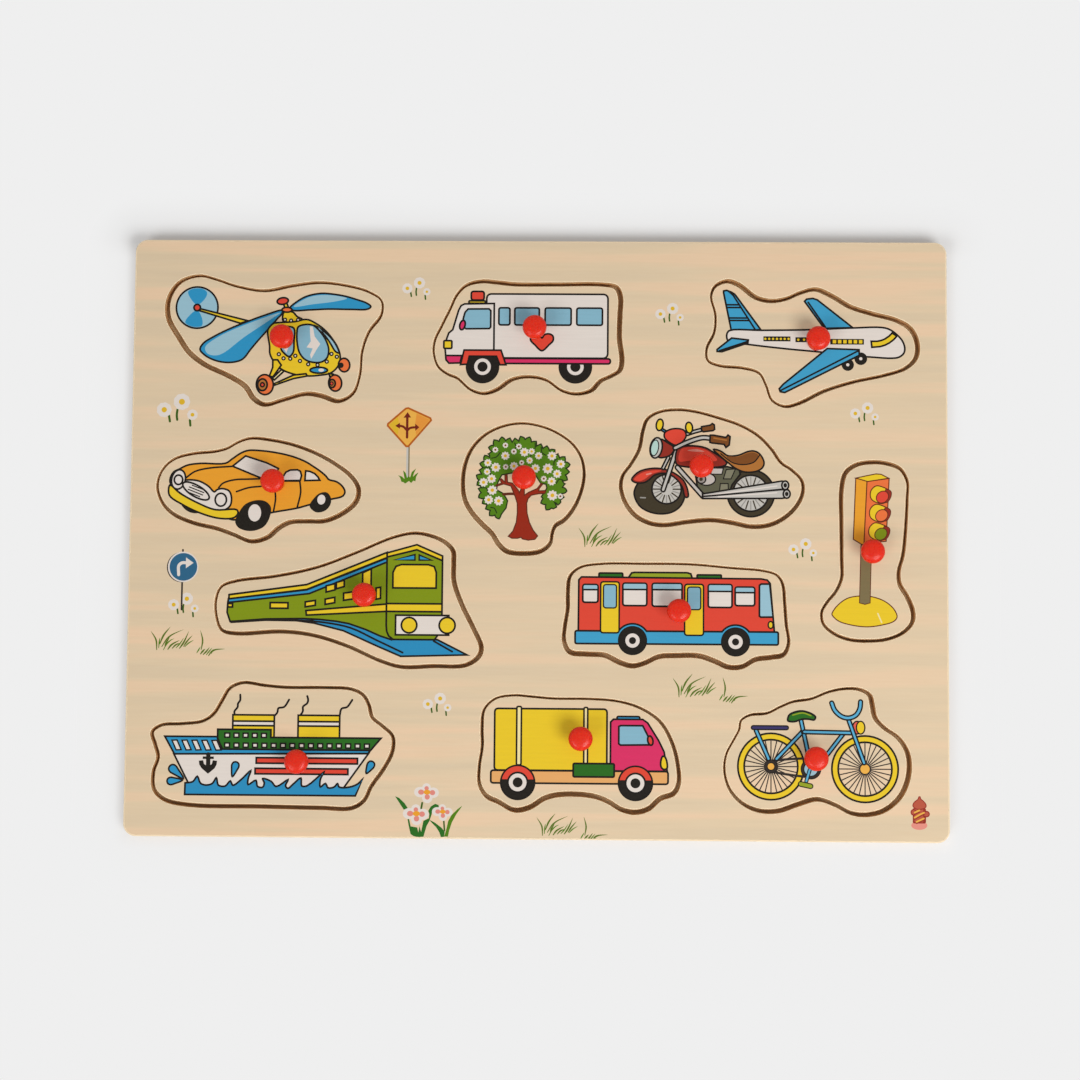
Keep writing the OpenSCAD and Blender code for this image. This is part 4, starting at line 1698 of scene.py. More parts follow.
@dataclass
class TrafficLight(PuzzlePiece):
    """A street signal on a round foot."""

    name: str = "traffic_light"
    grid: Point = (33.6, 65.4)
    shift: Point = (0.47, 0.14)
    line: float = 0.4

    def draw(self) -> None:
        """Draws the foot, the post, the box and its three lamps."""
        art = self.art
        foot = [
            (-39.2, -35.2), (-33.7, -30.8), (-22.5, -26.5), (-8.5, -25.1), (4.1, -25.5), (18, -28),
            (27.8, -32.3), (31.3, -36.6), (27.8, -39.1), (15.2, -41.2), (-1.5, -42.3), (-19.7, -41.2),
            (-32.3, -39.1), (-38.5, -36.2),
        ]
        art.blob(Ink.SUN, foot, edge=Ink.UMBER)
        art.stroke([(10.4, -34.8), (14.6, -39.8)], 0.5, Ink.CREAM)
        art.area(Ink.POST, [(-7.6, 4), (4, 4), (2.2, -29), (-3.4, -29.8), (-9.4, -29)], 0.3, Ink.UMBER)
        art.area(Ink.GOLD, [(-13, 40.9), (-0.8, 39.5), (-4, 3.8), (-7, 3.8), (-15.8, 6.6)], edge=Ink.UMBER)
        art.area(Ink.ORANGE, [(-0.8, 39.1), (23.3, 40.9), (19.8, 5.6), (-4.3, 4.3)], edge=Ink.UMBER)
        art.area(Ink.SUN, [
            (-13, 41), (-1.5, 42.3), (9, 43.4), (14.5, 43.2), (22.9, 41), (-0.1, 39.1),
        ], edge=Ink.UMBER)
        for k, lens in enumerate((Ink.RED, Ink.ORANGE, Ink.OLIVE)):
            y, x = -10.4 * k, -0.9 * k
            hood = [
                (2.7, 31.5), (4, 34.4), (9.6, 36.7), (20.8, 35), (25.3, 33.4), (25, 30.8), (20.8, 28),
                (15.2, 26.7), (8.2, 27.6), (4, 29.2),
            ]
            art.blob(Ink.SUN, [(px + x, py + y) for px, py in hood], edge=Ink.UMBER)
            rim = [(19.4, 34.6), (24.6, 34), (25.6, 31.4), (21.6, 27.6), (19, 27.4)]
            art.blob(Ink.BRICK, [(px + x, py + y) for px, py in rim], 0.3, Ink.UMBER)
            art.disc(lens, 15.9 + x, 30.4 + y, 7.2, 3.1, 42, 0.35, Ink.UMBER)


@dataclass
class Train(PuzzlePiece):
    """A green train coming round a bend."""

    name: str = "train"
    grid: Point = (97.4, 48.8)
    shift: Point = (0.51, -0.15)

    def draw(self) -> None:
        """Draws the track, the carriages and the cab."""
        art = self.art
        track = [
            (-24, -15.4), (-13.3, -17.6), (-2.1, -23.2), (10.5, -34.4), (19.6, -42.1), (44.5, -40.7),
            (33.3, -29.5), (16.5, -29), (9, -22), (0, -15.6), (-13.3, -13.8),
        ]
        art.area(Ink.POOL, track)
        art.stroke([(-18, -15.8), (-9, -17.2), (0.7, -21.1), (10.5, -30.2), (20.3, -39.3)], 0.7)
        art.stroke([(31.9, -30.5), (38.9, -38.3)], 0.7)
        art.area(Ink.OLIVE, [
            (-45.8, -2.2), (-45.2, 3.4), (-16.1, 11.3), (14, 35.9), (16, -29.7), (11.8, -27), (6.3, -22.2),
            (0, -17.9), (-4.7, -16.2), (-11, -14.9), (-17.3, -14.3), (-31.5, -14.8), (-44.8, -16.9),
            (-46, -10),
        ])
        art.area(Ink.BLACK, [
            (-44.9, -16.6), (-31.5, -14.6), (-12, -15.4), (-20, -16.6), (-31.5, -16.4), (-44.6, -18.2),
        ], 0)
        art.area(Ink.SUN, [(-45.4, 3.2), (-16.1, 11.2), (14, 35.8), (14, 32), (-16.1, 7.6), (-45.4, 0.2)])
        art.area(Ink.SKY, [(-45.6, 0.1), (-16.1, 7.3), (14, 31.6), (14, 28.6), (-15.1, 4.5), (-45.7, -2.6)])
        for x0, x1, y0, y1 in [(-45.8, -44, -6, -3.4), (-29.8, -23.1, -6.7, -2.5)]:
            art.panel(Ink.SUN, x0, y0, x1, y1)
        for x0, x1, y0, y1, lift in [
            (-16.6, -12.8, -5.5, -1.8, 1.2), (-9.1, -5.5, -3.6, 0.4, 1.4), (-8.8, -5.5, 5.7, 10.4, 1.7),
            (-5, -2, 8.2, 13, 1.8), (-2.2, 1.8, -0.4, 5, 1.2), (10, 11.7, 0.6, 9, 0.6),
        ]:
            art.area(Ink.SUN, [(x0, y0), (x1, y0 + lift), (x1, y1 + lift), (x0, y1)])
        art.area(Ink.SUN, [(4.9, 9), (8.1, 9), (8.1, 23.4), (4.9, 20.4)])
        art.area(Ink.SUN, [(-16.3, -8.3), (14, -3), (14, -8.5), (-16.1, -11.7)])
        art.area(Ink.OLIVE, [
            (14, 32.7), (25.2, 38.6), (34.9, 30.6), (34.9, -10), (34.2, -24), (32.2, -29.5), (16.7, -29.5),
            (15, -27), (14.2, -23.4), (14, -19),
        ])
        art.area(Ink.SUN, [(14, 35.5), (25.2, 41.8), (34.9, 33.4), (34.9, 29.9), (25.2, 38), (14, 32.4)])
        art.area(Ink.SKY, [(16.5, 30.2), (24.5, 34.4), (24.5, 30.2)], 0.6)
        art.area(Ink.SKY, [(26.1, 34.1), (30.8, 30.2), (26.1, 30.2)], 0.6)
        art.area(Ink.SUN, [
            (16.3, 9.2), (16.3, 21), (17.4, 25.4), (19.4, 26.8), (29.6, 26.8), (31.8, 25.4), (32.6, 21),
            (32.6, 9.2),
        ])
        art.panel(Ink.SUN, 14, -8.5, 34.9, -2.6)
        art.panel(Ink.WHITE, 17.5, -26, 37.5, -11.3)
        art.disc(Ink.SUN, 22.6, -18.7, 2.9)
        art.disc(Ink.SUN, 36.9, -18.7, 3)


@dataclass
class Bus(PuzzlePiece):
    """A red bus with two yellow doors.

    Args:
        wheels: the wheels' centres on the grid.
    """

    name: str = "bus"
    grid: Point = (81.8, 38.0)
    shift: Point = (0.14, -0.79)
    wheels: tuple[Point, Point] = ((-19.7, -23.1), (26.2, -23.7))

    def draw(self) -> None:
        """Draws the body, the doors, the windows and the wheels."""
        art = self.art
        art.panel(Ink.FOREST, -34.8, 36, -24.2, 41.7, 0.4)
        art.area(Ink.LIME, [(-21.8, 37), (-20.2, 42), (-19, 42.5), (4.6, 42.5), (6.2, 41.4), (6.9, 37)])
        art.panel(Ink.FOREST, 9, 36, 19.8, 40.5, 0.3)
        body = [
            (-43.8, 35), (-42.6, 37.8), (37.5, 37), (40.3, 35.9), (41.6, 32.6), (43.5, -15), (-43.9, -15),
        ]
        art.area(Ink.RED, body)
        for x, y in self.wheels:
            self.arch(x, y, 7.5, None)
        art.panel(Ink.AZURE, -45.3, -26.3, 45.2, -14, 0.6)
        for x, y in self.wheels:
            self.arch(x, y, 7.1, 0)
        for x0, x1, y0, y1, bar in [
            (-42, -35.2, 13.4, 30.6, 25.6), (-24.1, -13.4, 10.5, 32.1, 26), (-11, 2.3, 10, 32.1, 26),
            (14, 24.6, 9.3, 31.4, 24.7), (26, 34.7, 11.1, 29, 23.7),
        ]:
            art.panel(Ink.WHITE, x0, y0, x1, y1, 0.8)
            art.panel(Ink.PALE, x0 + 0.34, bar, x1 - 0.34, y1 - 0.7, 0.5, line=0)
            art.stroke([(x0, bar), (x1, bar)], self.fine)
        for x0, x1, y0, y1, pane in [(-34, -25.7, -15.8, 33.3, 8.1), (3.5, 11.9, -17.7, 31.4, 7)]:
            art.panel(Ink.SUN, x0, y0, x1, y1, 0.9, line=0.6)
            art.panel(Ink.GLASS, x0 + 1.25, pane, x1 - 1.25, y1 - 2.7, 0.9, line=0.5)
        art.area(Ink.PALE, [(36.8, 30.8), (37.6, 32.1), (41.4, 32.1), (42.9, 0.4), (37.4, 0.2), (36.8, 1.2)])
        art.disc(Ink.SUN, 41.8, -7.2, 1.1, 3.4, line=0.55)
        for x, y in self.wheels:
            art.disc(Ink.BLACK, x, y, 6.3, line=0.4)
            art.disc(Ink.WHITE, x, y, 3.2, line=0)
            art.disc(Ink.BLACK, x, y, 1.6, line=0)

    def arch(self, x: float, y: float, r: float, line: float | None) -> None:
        """Draws the half-round arch over a wheel.

        Args:
            x: the wheel's centre on the grid.
            y: the wheel's centre on the grid.
            r: the arch's radius.
            line: its outline's width in millimetres, none for the usual one.
        """
        art = self.art
        rise = r * self.grid[0] / self.grid[1]
        angle = np.linspace(math.pi * 0.02, math.pi * 0.98, 24)
        art.area(Ink.AZURE, [(x + r * math.cos(a), y + rise * math.sin(a)) for a in angle], line)


@dataclass
class Ship(PuzzlePiece):
    """A steamer with two funnels on a choppy sea."""

    name: str = "ship"
    grid: Point = (88.2, 45.5)
    shift: Point = (0.3, 0.05)

    def draw(self) -> None:
        """Draws the smoke, the funnels, the decks, the hull, the anchor and the sea."""
        art = self.art
        for run in [
            [(-16.3, 24.2), (-16.4, 26.6), (-15.1, 30.1), (-15, 32.8), (-14.1, 35.6), (-14.1, 40)],
            [(0.2, 23.2), (1.4, 26), (1.8, 29.4), (4.2, 30.5), (6.2, 36.3)],
            [(11.1, 24.2), (12, 27.3), (12, 30.8), (13.7, 33.5), (14.1, 36.3), (13.7, 39.3)],
            [(27.3, 24.2), (28, 29.4), (30.3, 30.8), (32.4, 36.5)],
        ]:
            art.stroke(run, 0.75)
        for x in (-17, 10.1):
            art.panel(Ink.SUN, x, 6, x + 17.2, 23.9)
            art.panel(Ink.WHITE, x, 15.3, x + 17.2, 18.9)
        art.area(Ink.WHITE, [(-41.2, -7.7), (39.4, -6.3), (28.2, -36.8), (-33.4, -36.8)])
        art.area(Ink.SKY, [
            (-45.1, 6.3), (-23.2, 6.3), (-21.3, -3.6), (40.2, -3.8), (39.2, -6.2), (-41, -7.7),
        ])
        for k in range(5):
            x = 4.13 * k
            art.area(Ink.WHITE, [
                (-42.1 + x, 3.2), (-40 + x, 3.4), (-38.2 + x, -4.3), (-40.3 + x, -4.5),
            ], 0.55)
        deck = [(-23.2, 12.2), (-1.1, 12.2), (-1.1, 6), (44.5, 6), (40.3, -3.6), (-21.1, -3.6), (-23.2, 5)]
        art.area(Ink.FOREST, deck)
        for k in range(16):
            art.panel(Ink.WHITE, -20.2 + 3.86 * k, -2, -18.2 + 3.86 * k, 1.3, line=0.6)
        for k in range(5):
            art.panel(Ink.WHITE, -20.2 + 3.8 * k, 5.9, -18.2 + 3.8 * k, 9.2, line=0.6)
        art.panel(Ink.RED, -7, -14.6, 34.9, -10.2)
        art.panel(Ink.RED, -7.4, -23.1, 31, -18.7)
        self.anchor()
        self.sea()

    def anchor(self) -> None:
        """Draws the anchor on the bow."""
        art = self.art
        art.panel(Ink.BLACK, -27.8, -22, -26, -8, line=0)
        art.panel(Ink.BLACK, -29.2, -11.6, -24.6, -9.6, line=0)
        hook = [
            (-30.8, -13), (-29, -12.6), (-28.6, -15.6), (-27, -17.4), (-25.4, -15.6), (-25, -12.6),
            (-23.2, -13), (-23.4, -16), (-24.2, -19), (-26.9, -23.4), (-29.6, -19), (-30.6, -16),
        ]
        art.area(Ink.BLACK, hook, 0)
        art.disc(Ink.BLACK, -26.9, -7.9, 0.9, line=0)

    def sea(self) -> None:
        """Draws the waves and the splashes."""
        art = self.art
        crest = [
            (-36.3, -30.8), (-33.1, -29.7), (-31.3, -25.5), (-29.9, -31), (-27.5, -32.4), (-25, -31),
            (-23.4, -26.6), (-22.5, -32.4), (-19.7, -33.1), (-17.6, -29), (-16.5, -32.4), (-13.4, -28.3),
            (-9.2, -20.7), (-10.2, -26.9), (-10.2, -31.7), (-7, -28.3), (-6.3, -33.1), (-4.2, -33.8),
            (-3.5, -30.4), (-4.2, -26.9), (-0.7, -29), (1.4, -33.1), (6.3, -27.6), (5.3, -32.4),
            (6.3, -34.5), (8.5, -31), (11.6, -26.2), (12, -32.4), (14.1, -32.4), (21.1, -21.4),
            (19.7, -26.9), (19.7, -33.1), (21.8, -30.4), (22.9, -33.8), (25.4, -33.1), (26.8, -30.4),
            (27.5, -33.1), (31.7, -33.1), (35.2, -30.4), (37.3, -26.2),
        ]
        top = curve(art.place(crest), False, 4)
        art.paint(np.vstack([top, art.place([(34.2, -40), (-36.4, -40)])]), Ink.POOL, None)
        for head, tip, r in [
            ((-15.6, -16.6), (-16.8, -25.5), 1.5), ((-41.5, -19.6), (-37, -27.4), 1.7),
            ((-42.3, -29.4), (-37.4, -28.6), 1.5), ((40.5, -15.2), (38.6, -22.1), 1.5),
        ]:
            a, b = art.place([head, tip])
            along = (b - a) / np.linalg.norm(b - a)
            across = np.array([-along[1], along[0]])
            wide = r * self.grid[0] / GRID
            ring = [
                a - along * wide, a - (along + across) * wide * 0.72, a - across * wide,
                a + along * wide - across * wide * 0.8, b, a + along * wide + across * wide * 0.8,
                a + across * wide, a - (along - across) * wide * 0.72,
            ]
            art.paint(curve(np.array(ring), True), Ink.SKY, self.fine)


@dataclass
class Truck(PuzzlePiece):
    """A lorry with a yellow box and a pink cab.

    Args:
        wheels: the wheels' centres on the grid.
    """

    name: str = "truck"
    grid: Point = (73.0, 42.0)
    shift: Point = (0.37, -0.55)
    wheels: tuple[Point, Point] = ((-30.8, -24.5), (27.8, -24.5))

    def draw(self) -> None:
        """Draws the box, the cab, the chassis and the wheels."""
        art = self.art
        art.panel(Ink.SUN, -42.5, -14, 13.5, 39.2, 1.1)
        for x0, x1, y0, y1 in [(-31.5, -29.2, -9.5, 41), (2, 3.9, -8, 40.6)]:
            art.panel(Ink.CREAM, x0, y0, x1, y1, 0.5, line=self.fine)
        cab = [
            (15.3, -14), (15.3, 28.1), (16.7, 30.6), (31.3, 30.6), (33.8, 27.5), (39.2, 12.6), (42, 2.7),
            (43.4, -12.1), (43.6, -14),
        ]
        art.panel(Ink.SKY, 18.5, 29, 29.8, 33, 0.5)
        art.area(Ink.MAGENTA, cab)
        art.area(Ink.GLASS, [
            (19.4, 24.4), (20.3, 25.2), (31.3, 25.2), (34.3, 15.1), (34.5, 8.7), (20.3, 8.3), (19.4, 9.5),
        ])
        art.disc(Ink.RED, 35.1, 12.4, 1.3, 4.1, 12)
        art.panel(Ink.PEACH, -44.2, -25.1, 44, -14.2, 0.8)
        art.panel(Ink.FOREST, -3.2, -19.3, 17.2, -7.8, 0.5)
        art.blob(Ink.SUN, [
            (40.6, -3.4), (41.4, -1), (42.4, -1.6), (43.4, -6), (43.4, -11.6), (41.6, -12.2), (40.4, -9.6),
        ])
        rise = self.grid[0] / self.grid[1]
        angle = np.linspace(math.radians(11), math.radians(169), 24)
        for x, y in self.wheels:
            art.disc(Ink.BLACK, x, y, 8.4)
            art.area(Ink.RED, [(x + 8 * math.cos(a), y + 8 * rise * math.sin(a)) for a in angle], 0)
            art.disc(Ink.WHITE, x, y, 4.9)
            art.disc(Ink.BLACK, x, y, 2.5, line=0)


@dataclass
class Bicycle(PuzzlePiece):
    """A blue bicycle with yellow tyres.

    Args:
        pipe: the width of its frame's tubes, in millimetres.
        wheels: the wheels' centres on the grid.
        tyre: their radius.
        rim: the radius inside the tyres.
        spokes: how many spokes each wheel has.
    """

    name: str = "bicycle"
    grid: Point = (67.0, 45.4)
    shift: Point = (0.58, -0.4)
    fine: float = 0.58
    pipe: float = 1.3
    wheels: tuple[Point, Point] = ((-25.2, -11.9), (25.6, -13.4))
    tyre: float = 17.9
    rim: float = 14.5
    spokes: int = 28

    def draw(self) -> None:
        """Draws the wheels, the chain, the frame and the fittings."""
        art = self.art
        rise = self.grid[0] / self.grid[1]
        for x, y in self.wheels:
            art.disc(Ink.SUN, x, y, self.tyre)
            art.disc(Ink.BARE, x, y, self.rim)
            for k in range(self.spokes):
                turn = k * math.pi / (self.spokes / 2)
                c, s = math.cos(turn), rise * math.sin(turn)
                art.stroke([(x + 1.6 * c, y + 1.6 * s), (x + 14.3 * c, y + 14.3 * s)], 0.42, Ink.SPOKE)
        art.stroke([(-25, -7.4), (-16, -6), (-7.9, -5.3)], 0.9, Ink.SPOKE)
        art.stroke([(-23.6, -16.4), (-15, -18.4), (-7.2, -19.8)], 0.9, Ink.SPOKE)
        rear, front = self.wheels
        art.disc(Ink.SPOKE, *rear, 3.6, line=0.3)
        art.disc(Ink.AMBER, *rear, 2, line=0.3)
        art.disc(Ink.AMBER, *front, 2.9, line=0.5, edge=Ink.SPOKE)
        for run in [
            [(-33.3, 16.9), (-26.5, -5.8)], [(-22.2, -5.8), (-7.9, 16.4)],
            [(14, 14.8), (5.7, -1.1), (0, -11)], [(-9, 25.4), (-5.4, 0.5), (-4, -9)],
            [(-7.2, 15.9), (18.6, 15.3)],
        ]:
            art.tube(run, self.pipe, Ink.POWDER, False, self.fine)
        art.disc(Ink.CORAL, 21.4, 19.6, 2.5, 5.1, line=0.5)
        art.disc(Ink.SUN, 23.3, 19.6, 2.3, 5.1, line=0.5)
        art.tube([(16.8, 25.8), (25.1, -8.5)], self.pipe, Ink.POWDER, False, self.fine)
        bar = [
            (7.7, 39.1), (9.3, 33.3), (12.9, 28.5), (16.8, 27.2), (20.8, 29.6), (22.9, 34.9), (23.3, 40.2),
        ]
        art.tube(bar, 1.4, Ink.POWDER, True, self.fine)
        saddle = [
            (-16.1, 24.8), (-15.4, 29.1), (-12.2, 31.7), (-7.9, 32.5), (-2.9, 30.1), (-1.1, 27.8),
            (-1.8, 25.6), (-5, 26.1), (-8.6, 25.9), (-12.2, 24.1), (-15, 24.1),
        ]
        art.blob(Ink.FOREST, saddle)
        art.stroke([(-13.4, 29.2), (-8, 31), (-3.6, 28.9)], 0.45, Ink.LIME)
        art.tube([(-34.8, 19), (-16.8, 19)], 1.4, Ink.NAVY, False, 0.5)
        art.disc(Ink.SPOKE, -3.6, -13.7, 5.4, line=0.3)
        art.disc(Ink.PALE, -3.6, -13.7, 3.8, line=0.3)
        art.tube([(-4.2, -14), (-6.1, -23.3)], 1.1, Ink.POWDER, False, 0.4)
        art.tube([(-9.2, -25.6), (-3.8, -27.3)], 1.7, Ink.LIME, False, 0.4)


@dataclass
class Tray:
    """The backing, the cut board and the print that is glued on it.

    Args:
        name: the tray's body in the frame.
        art: the picture.
    """

    name: str = "tray"
    art: Artwork = field(default_factory=lambda: Artwork(line=0.3))

    def build(self, finishes: Finishes) -> list[str]:
        """Prints the board and dresses its wood.

        Args:
            finishes: the materials.

        Returns:
            The names of the pieces that were made or dressed.
        """
        self.flowers()
        self.signs()
        self.tufts()
        self.hydrant()
        # The board's own outline gets the pale painted-highlight ink in place of the scorch
        sheet = PrintSheet("tray_print", self.name, "tray_print", self.art, trim=Ink.EDGE_HIGHLIGHT)
        return [sheet.build(finishes.print_sheet).name, *self.dress(finishes)]

    def dress(self, finishes: Finishes) -> list[str]:
        """Gives the two boards their finishes, and tells their names."""
        return wear({"tray_board": finishes.tray_wood, "backing_board": finishes.backing})

    def flowers(self) -> None:
        """Draws the small daisies and the larger flowers at the lower edge."""
        art = self.art
        for x, y, size in [
            (-131.7, 49.4, 1.0), (-44.4, 94.2, 0.69), (49.2, 85.0, 0.69), (120.8, 48.4, 0.69),
            (-128.4, -23.4, 0.74), (-35.0, -59.2, 0.69), (98.1, -1.8, 0.69),
        ]:
            for run in [
                [(-4.7, -5.0), (-4.3, -7.3)], [(-1.6, -3.0), (-1.8, -5.0), (-1.6, -6.7)],
                [(3.1, -6.8), (3.3, -8.8)],
            ]:
                art.stroke([(x + size * a, y + size * b) for a, b in run], 0.85 * size, Ink.STALK)
            for a, b, r in [(-6.5, -3.0, 2.8), (0, 0, 3.1), (4.0, -4.8, 2.0)]:
                art.daisy(x + size * a, y + size * b, size * r)
        art.area(Ink.FOREST, [
            (-51, -94.8), (-49.5, -95.4), (-47.5, -97.3), (-46.2, -99.2), (-47.8, -99.6),
        ], 0)
        art.area(Ink.FOREST, [
            (-46.4, -103), (-45.8, -103), (-45.2, -105.6), (-42.8, -106), (-42.4, -107.8), (-42, -105.5),
            (-41.4, -107.6), (-40.6, -103.6), (-38.6, -102.6), (-38.5, -101), (-38.9, -100), (-38, -98.4),
            (-36.4, -97.4), (-35.2, -97.8), (-35, -98.4), (-35.6, -99), (-36.2, -98.8), (-37.4, -99.6),
            (-37.6, -101.2), (-38.4, -103.6), (-39.4, -105.4), (-40.2, -108.2), (-40.5, -109.3),
            (-42.3, -109.5), (-44, -109.2), (-45.2, -108.4), (-45.8, -106),
        ], 0)
        art.area(Ink.FOREST, [
            (-38.4, -103.2), (-36.4, -104.2), (-34, -106), (-32.8, -107.4), (-33, -109.3), (-34.2, -109.4),
            (-34.8, -107.6), (-36, -105.8), (-38, -103.8),
        ], 0)
        art.area(Ink.LEAF, [
            (-26.6, -98), (-28.4, -99.4), (-30.4, -101.4), (-31.6, -103.6), (-32.2, -106.4), (-33, -109.2),
            (-31.6, -109.2), (-31.2, -107), (-30.2, -104), (-28.6, -101), (-27, -98.8),
        ], 0)
        art.stroke([(-41.1, -97.1), (-41.5, -99.4)], 0.7, Ink.STALK)
        art.stroke([(-33.2, -103.4), (-32.9, -107)], 0.6, Ink.STALK)
        for x, y, size in [(-39.4, -93.2, 1.0), (-43.2, -101.0, 1.05), (-33.6, -100.2, 0.84)]:
            petals = [
                (-0.2, 1.6, 1.6, 1.6), (-2.5, 0, 2.2, 1.9), (2.3, -0.2, 2.0, 1.9), (0.1, -2.0, 1.9, 2.0),
            ]
            for ink, near, share in ((Ink.WHITE, 1, 1), (Ink.BLUSH, 0.86, 0.5)):
                for a, b, wide, high in petals:
                    middle = (x + size * a * near, y + size * b * near)
                    art.disc(ink, *middle, size * wide * share, size * high * share, line=0)
            art.disc(Ink.GOLD, x, y, size * 1.25, size * 0.9, line=0)

    def signs(self) -> None:
        """Draws the crossroads sign and the round sign, each on its pole."""
        art = self.art
        art.stroke([(-47.9, 34), (-47.9, 22)], 1.15, Ink.STEEL)
        art.stroke([(-47.5, 34.4), (-47.5, 22)], 0.45, Ink.POST)
        board = [
            (-48.9, 47.3), (-48, 47.5), (-39.8, 43.8), (-39.5, 43), (-47.8, 33.3), (-48.6, 33.3),
            (-55.5, 40.9), (-55.4, 41.6),
        ]
        art.area(Ink.AMBER, board, 0.7, Ink.RUST)
        art.area(Ink.HONEY, [(-55, 41.2), (-51.8, 44.2), (-51.2, 41), (-51.8, 37.5)], 0)
        art.area(Ink.APRICOT, [(-44.9, 45.5), (-40, 43.2), (-45, 37.4), (-45.4, 41.5)], 0)
        art.stroke([(-48.3, 36.6), (-48.3, 44.2)], 0.9, Ink.MAROON)
        art.stroke([(-51, 40.9), (-49.6, 40.5), (-48.3, 39.3), (-47.2, 40.1), (-45, 40.4)], 0.85, Ink.MAROON)
        for tip, a, b in [
            ((-48.2, 46), (-49.7, 43.9), (-46.9, 44)), ((-52.7, 40.9), (-51, 42), (-51, 39.8)),
            ((-43.8, 40.4), (-45.4, 41.7), (-45.3, 39.1)),
        ]:
            art.area(Ink.MAROON, [tip, a, b], 0)
        foot = [
            (-50.2, 20.2), (-50.6, 21.6), (-51.4, 22.6), (-50, 22.1), (-49, 21.2), (-49.6, 24.4),
            (-48.6, 23.4), (-48.1, 21.6), (-47.6, 22.4), (-47, 21.8), (-46.4, 23.8), (-44.8, 25.2),
            (-45.6, 23.4), (-46, 22), (-45, 23), (-43.9, 23.7), (-44.8, 22), (-45, 20.4), (-45.8, 20.6),
            (-46.6, 19.7), (-47.4, 20.5), (-48.8, 19.5), (-49.4, 20),
        ]
        art.area(Ink.LEAF, foot, 0)
        art.stroke([(-130.2, -5.4), (-130.3, -27.4)], 0.65, Ink.SPOKE)
        art.disc(Ink.SPOKE, -130.4, -11.8, 5.6, line=0)
        art.disc(Ink.WHITE, -130, -11.7, 5.6, line=0)
        art.disc(Ink.SIGN, -129.9, -11.7, 5.1, line=0)
        art.stroke([(-131.6, -14.6), (-131.6, -11.2), (-130.4, -10.2), (-128.8, -10.2)], 1.1, Ink.WHITE)
        art.area(Ink.WHITE, [(-126.2, -10.2), (-129, -8.2), (-129, -12.2)], 0)

    def tufts(self) -> None:
        """Draws the tufts of grass."""
        art = self.art
        tall = [
            [(0, -0.2), (-0.3, 3.5), (-2.3, 6.8)], [(0.7, 0.5), (0.9, 3), (1.1, 4.4)],
            [(1.1, 2), (2.4, 5.2), (4.9, 8.4)], [(1.8, 1), (3.6, 3.8), (5.4, 5.4), (9.7, 7.4)],
            [(2.4, -0.2), (3.6, 2), (5, 3.4), (6.4, 4.1)], [(4, 0), (5.4, 1.8), (8.4, 3.5)],
            [(5.6, 0.4), (7, 1.8), (8.8, 2.4)], [(7, 0.6), (8.4, 2.1), (9.9, 4.4)],
            [(8.3, 0.4), (9.8, 2.6), (11.7, 6.8)], [(9.8, 1.1), (11, 3), (13.1, 5.4)],
            [(10.2, 1), (11.6, 2.4), (13.6, 3.6)], [(3, 1), (3.4, 2.4), (4.6, 4.4)],
        ]
        low = [
            [(16.3, 0), (16.8, 3.5), (15.9, 7.2)], [(14.7, -1.2), (15.4, 0), (16.1, 1.2)],
            [(16, -1.6), (17, -0.4), (17.8, 0.4)], [(17, -1.8), (18.2, -0.6), (19.4, 1)],
            [(18.2, -1.9), (19.2, -0.6), (20.4, 0.8)], [(19, -2.2), (20.2, -0.6), (21.6, 0.1), (25.1, 0.4)],
            [(20, -1.4), (20.6, -0.2), (21.8, 0.1)],
        ]
        for x, y, size, blades in [
            (-139.1, -42.1, 1.0, tall + low), (17.4, -3.2, 1.0, tall), (52, -57.9, 1.0, tall + low),
            (2.7, -108.4, 0.94, tall + low),
        ]:
            for k, run in enumerate(blades):
                ink, width = ((Ink.GRASS, 0.62), (Ink.LEAF, 0.5), (Ink.GRASS, 0.7))[k % 3]
                art.blade([(x + size * a, y + size * b) for a, b in run], width * size, ink)

    def hydrant(self) -> None:
        """Draws the small red hydrant in the corner."""
        art = self.art
        art.disc(Ink.ROSE, 138.95, -103.7, 2.9, 1.6, line=0)
        art.panel(Ink.BRICK, 136.6, -103, 141.4, -97.4, 0.6, line=0)
        art.panel(Ink.CLAY, 137.2, -102.6, 140.4, -97.4, 0.5, line=0)
        cap = [
            (136.7, -96.8), (136.9, -95.8), (137.6, -95), (138.5, -94.3), (138.9, -93.4), (139.3, -93.4),
            (139.5, -94.1), (140.4, -94.9), (141.3, -96), (141.4, -97), (140.4, -97.7), (138, -97.8),
        ]
        art.blob(Ink.CLAY, cap, 0.35, Ink.BRICK)
        art.disc(Ink.CLAY, 136.9, -99, 0.9, 1, line=0.4, edge=Ink.BRICK)
        art.disc(Ink.CLAY, 141.5, -99.6, 1.1, 1, line=0.4, edge=Ink.BRICK)
        for run in [
            [(137.3, -99.1), (139, -98.3)], [(137.3, -100.9), (139.4, -99.7), (140.7, -99.1)],
            [(138, -102.4), (140.6, -101.2)],
        ]:
            art.stroke([(x, y - 0.55) for x, y in run], 0.5, Ink.BRICK)
            art.stroke(run, 0.6, Ink.AMBER)


@dataclass(frozen=True)
class Lamp:
    """A round soft lamp that shines at the puzzle.

    Args:
        place: where it hangs, in metres.
        size: its width in metres.
        power: its power in watts.
    """

    place: Place
    size: float
    power: float

    def build(self, name: str) -> str:
        """Hangs the lamp.

        Args:
            name: the lamp's name.

        Returns:
            That name.
        """
        lamp = bpy.data.lights.new(name, "AREA")
        lamp.shape, lamp.size, lamp.energy = "DISK", self.size, self.power
        held = bpy.data.objects.new(name, lamp)
        held.location = self.place
        held.visible_camera = False
        held.rotation_euler = (-Vector(self.place)).to_track_quat("-Z", "Y").to_euler()
        bpy.context.scene.collection.objects.link(held)
        return held.name


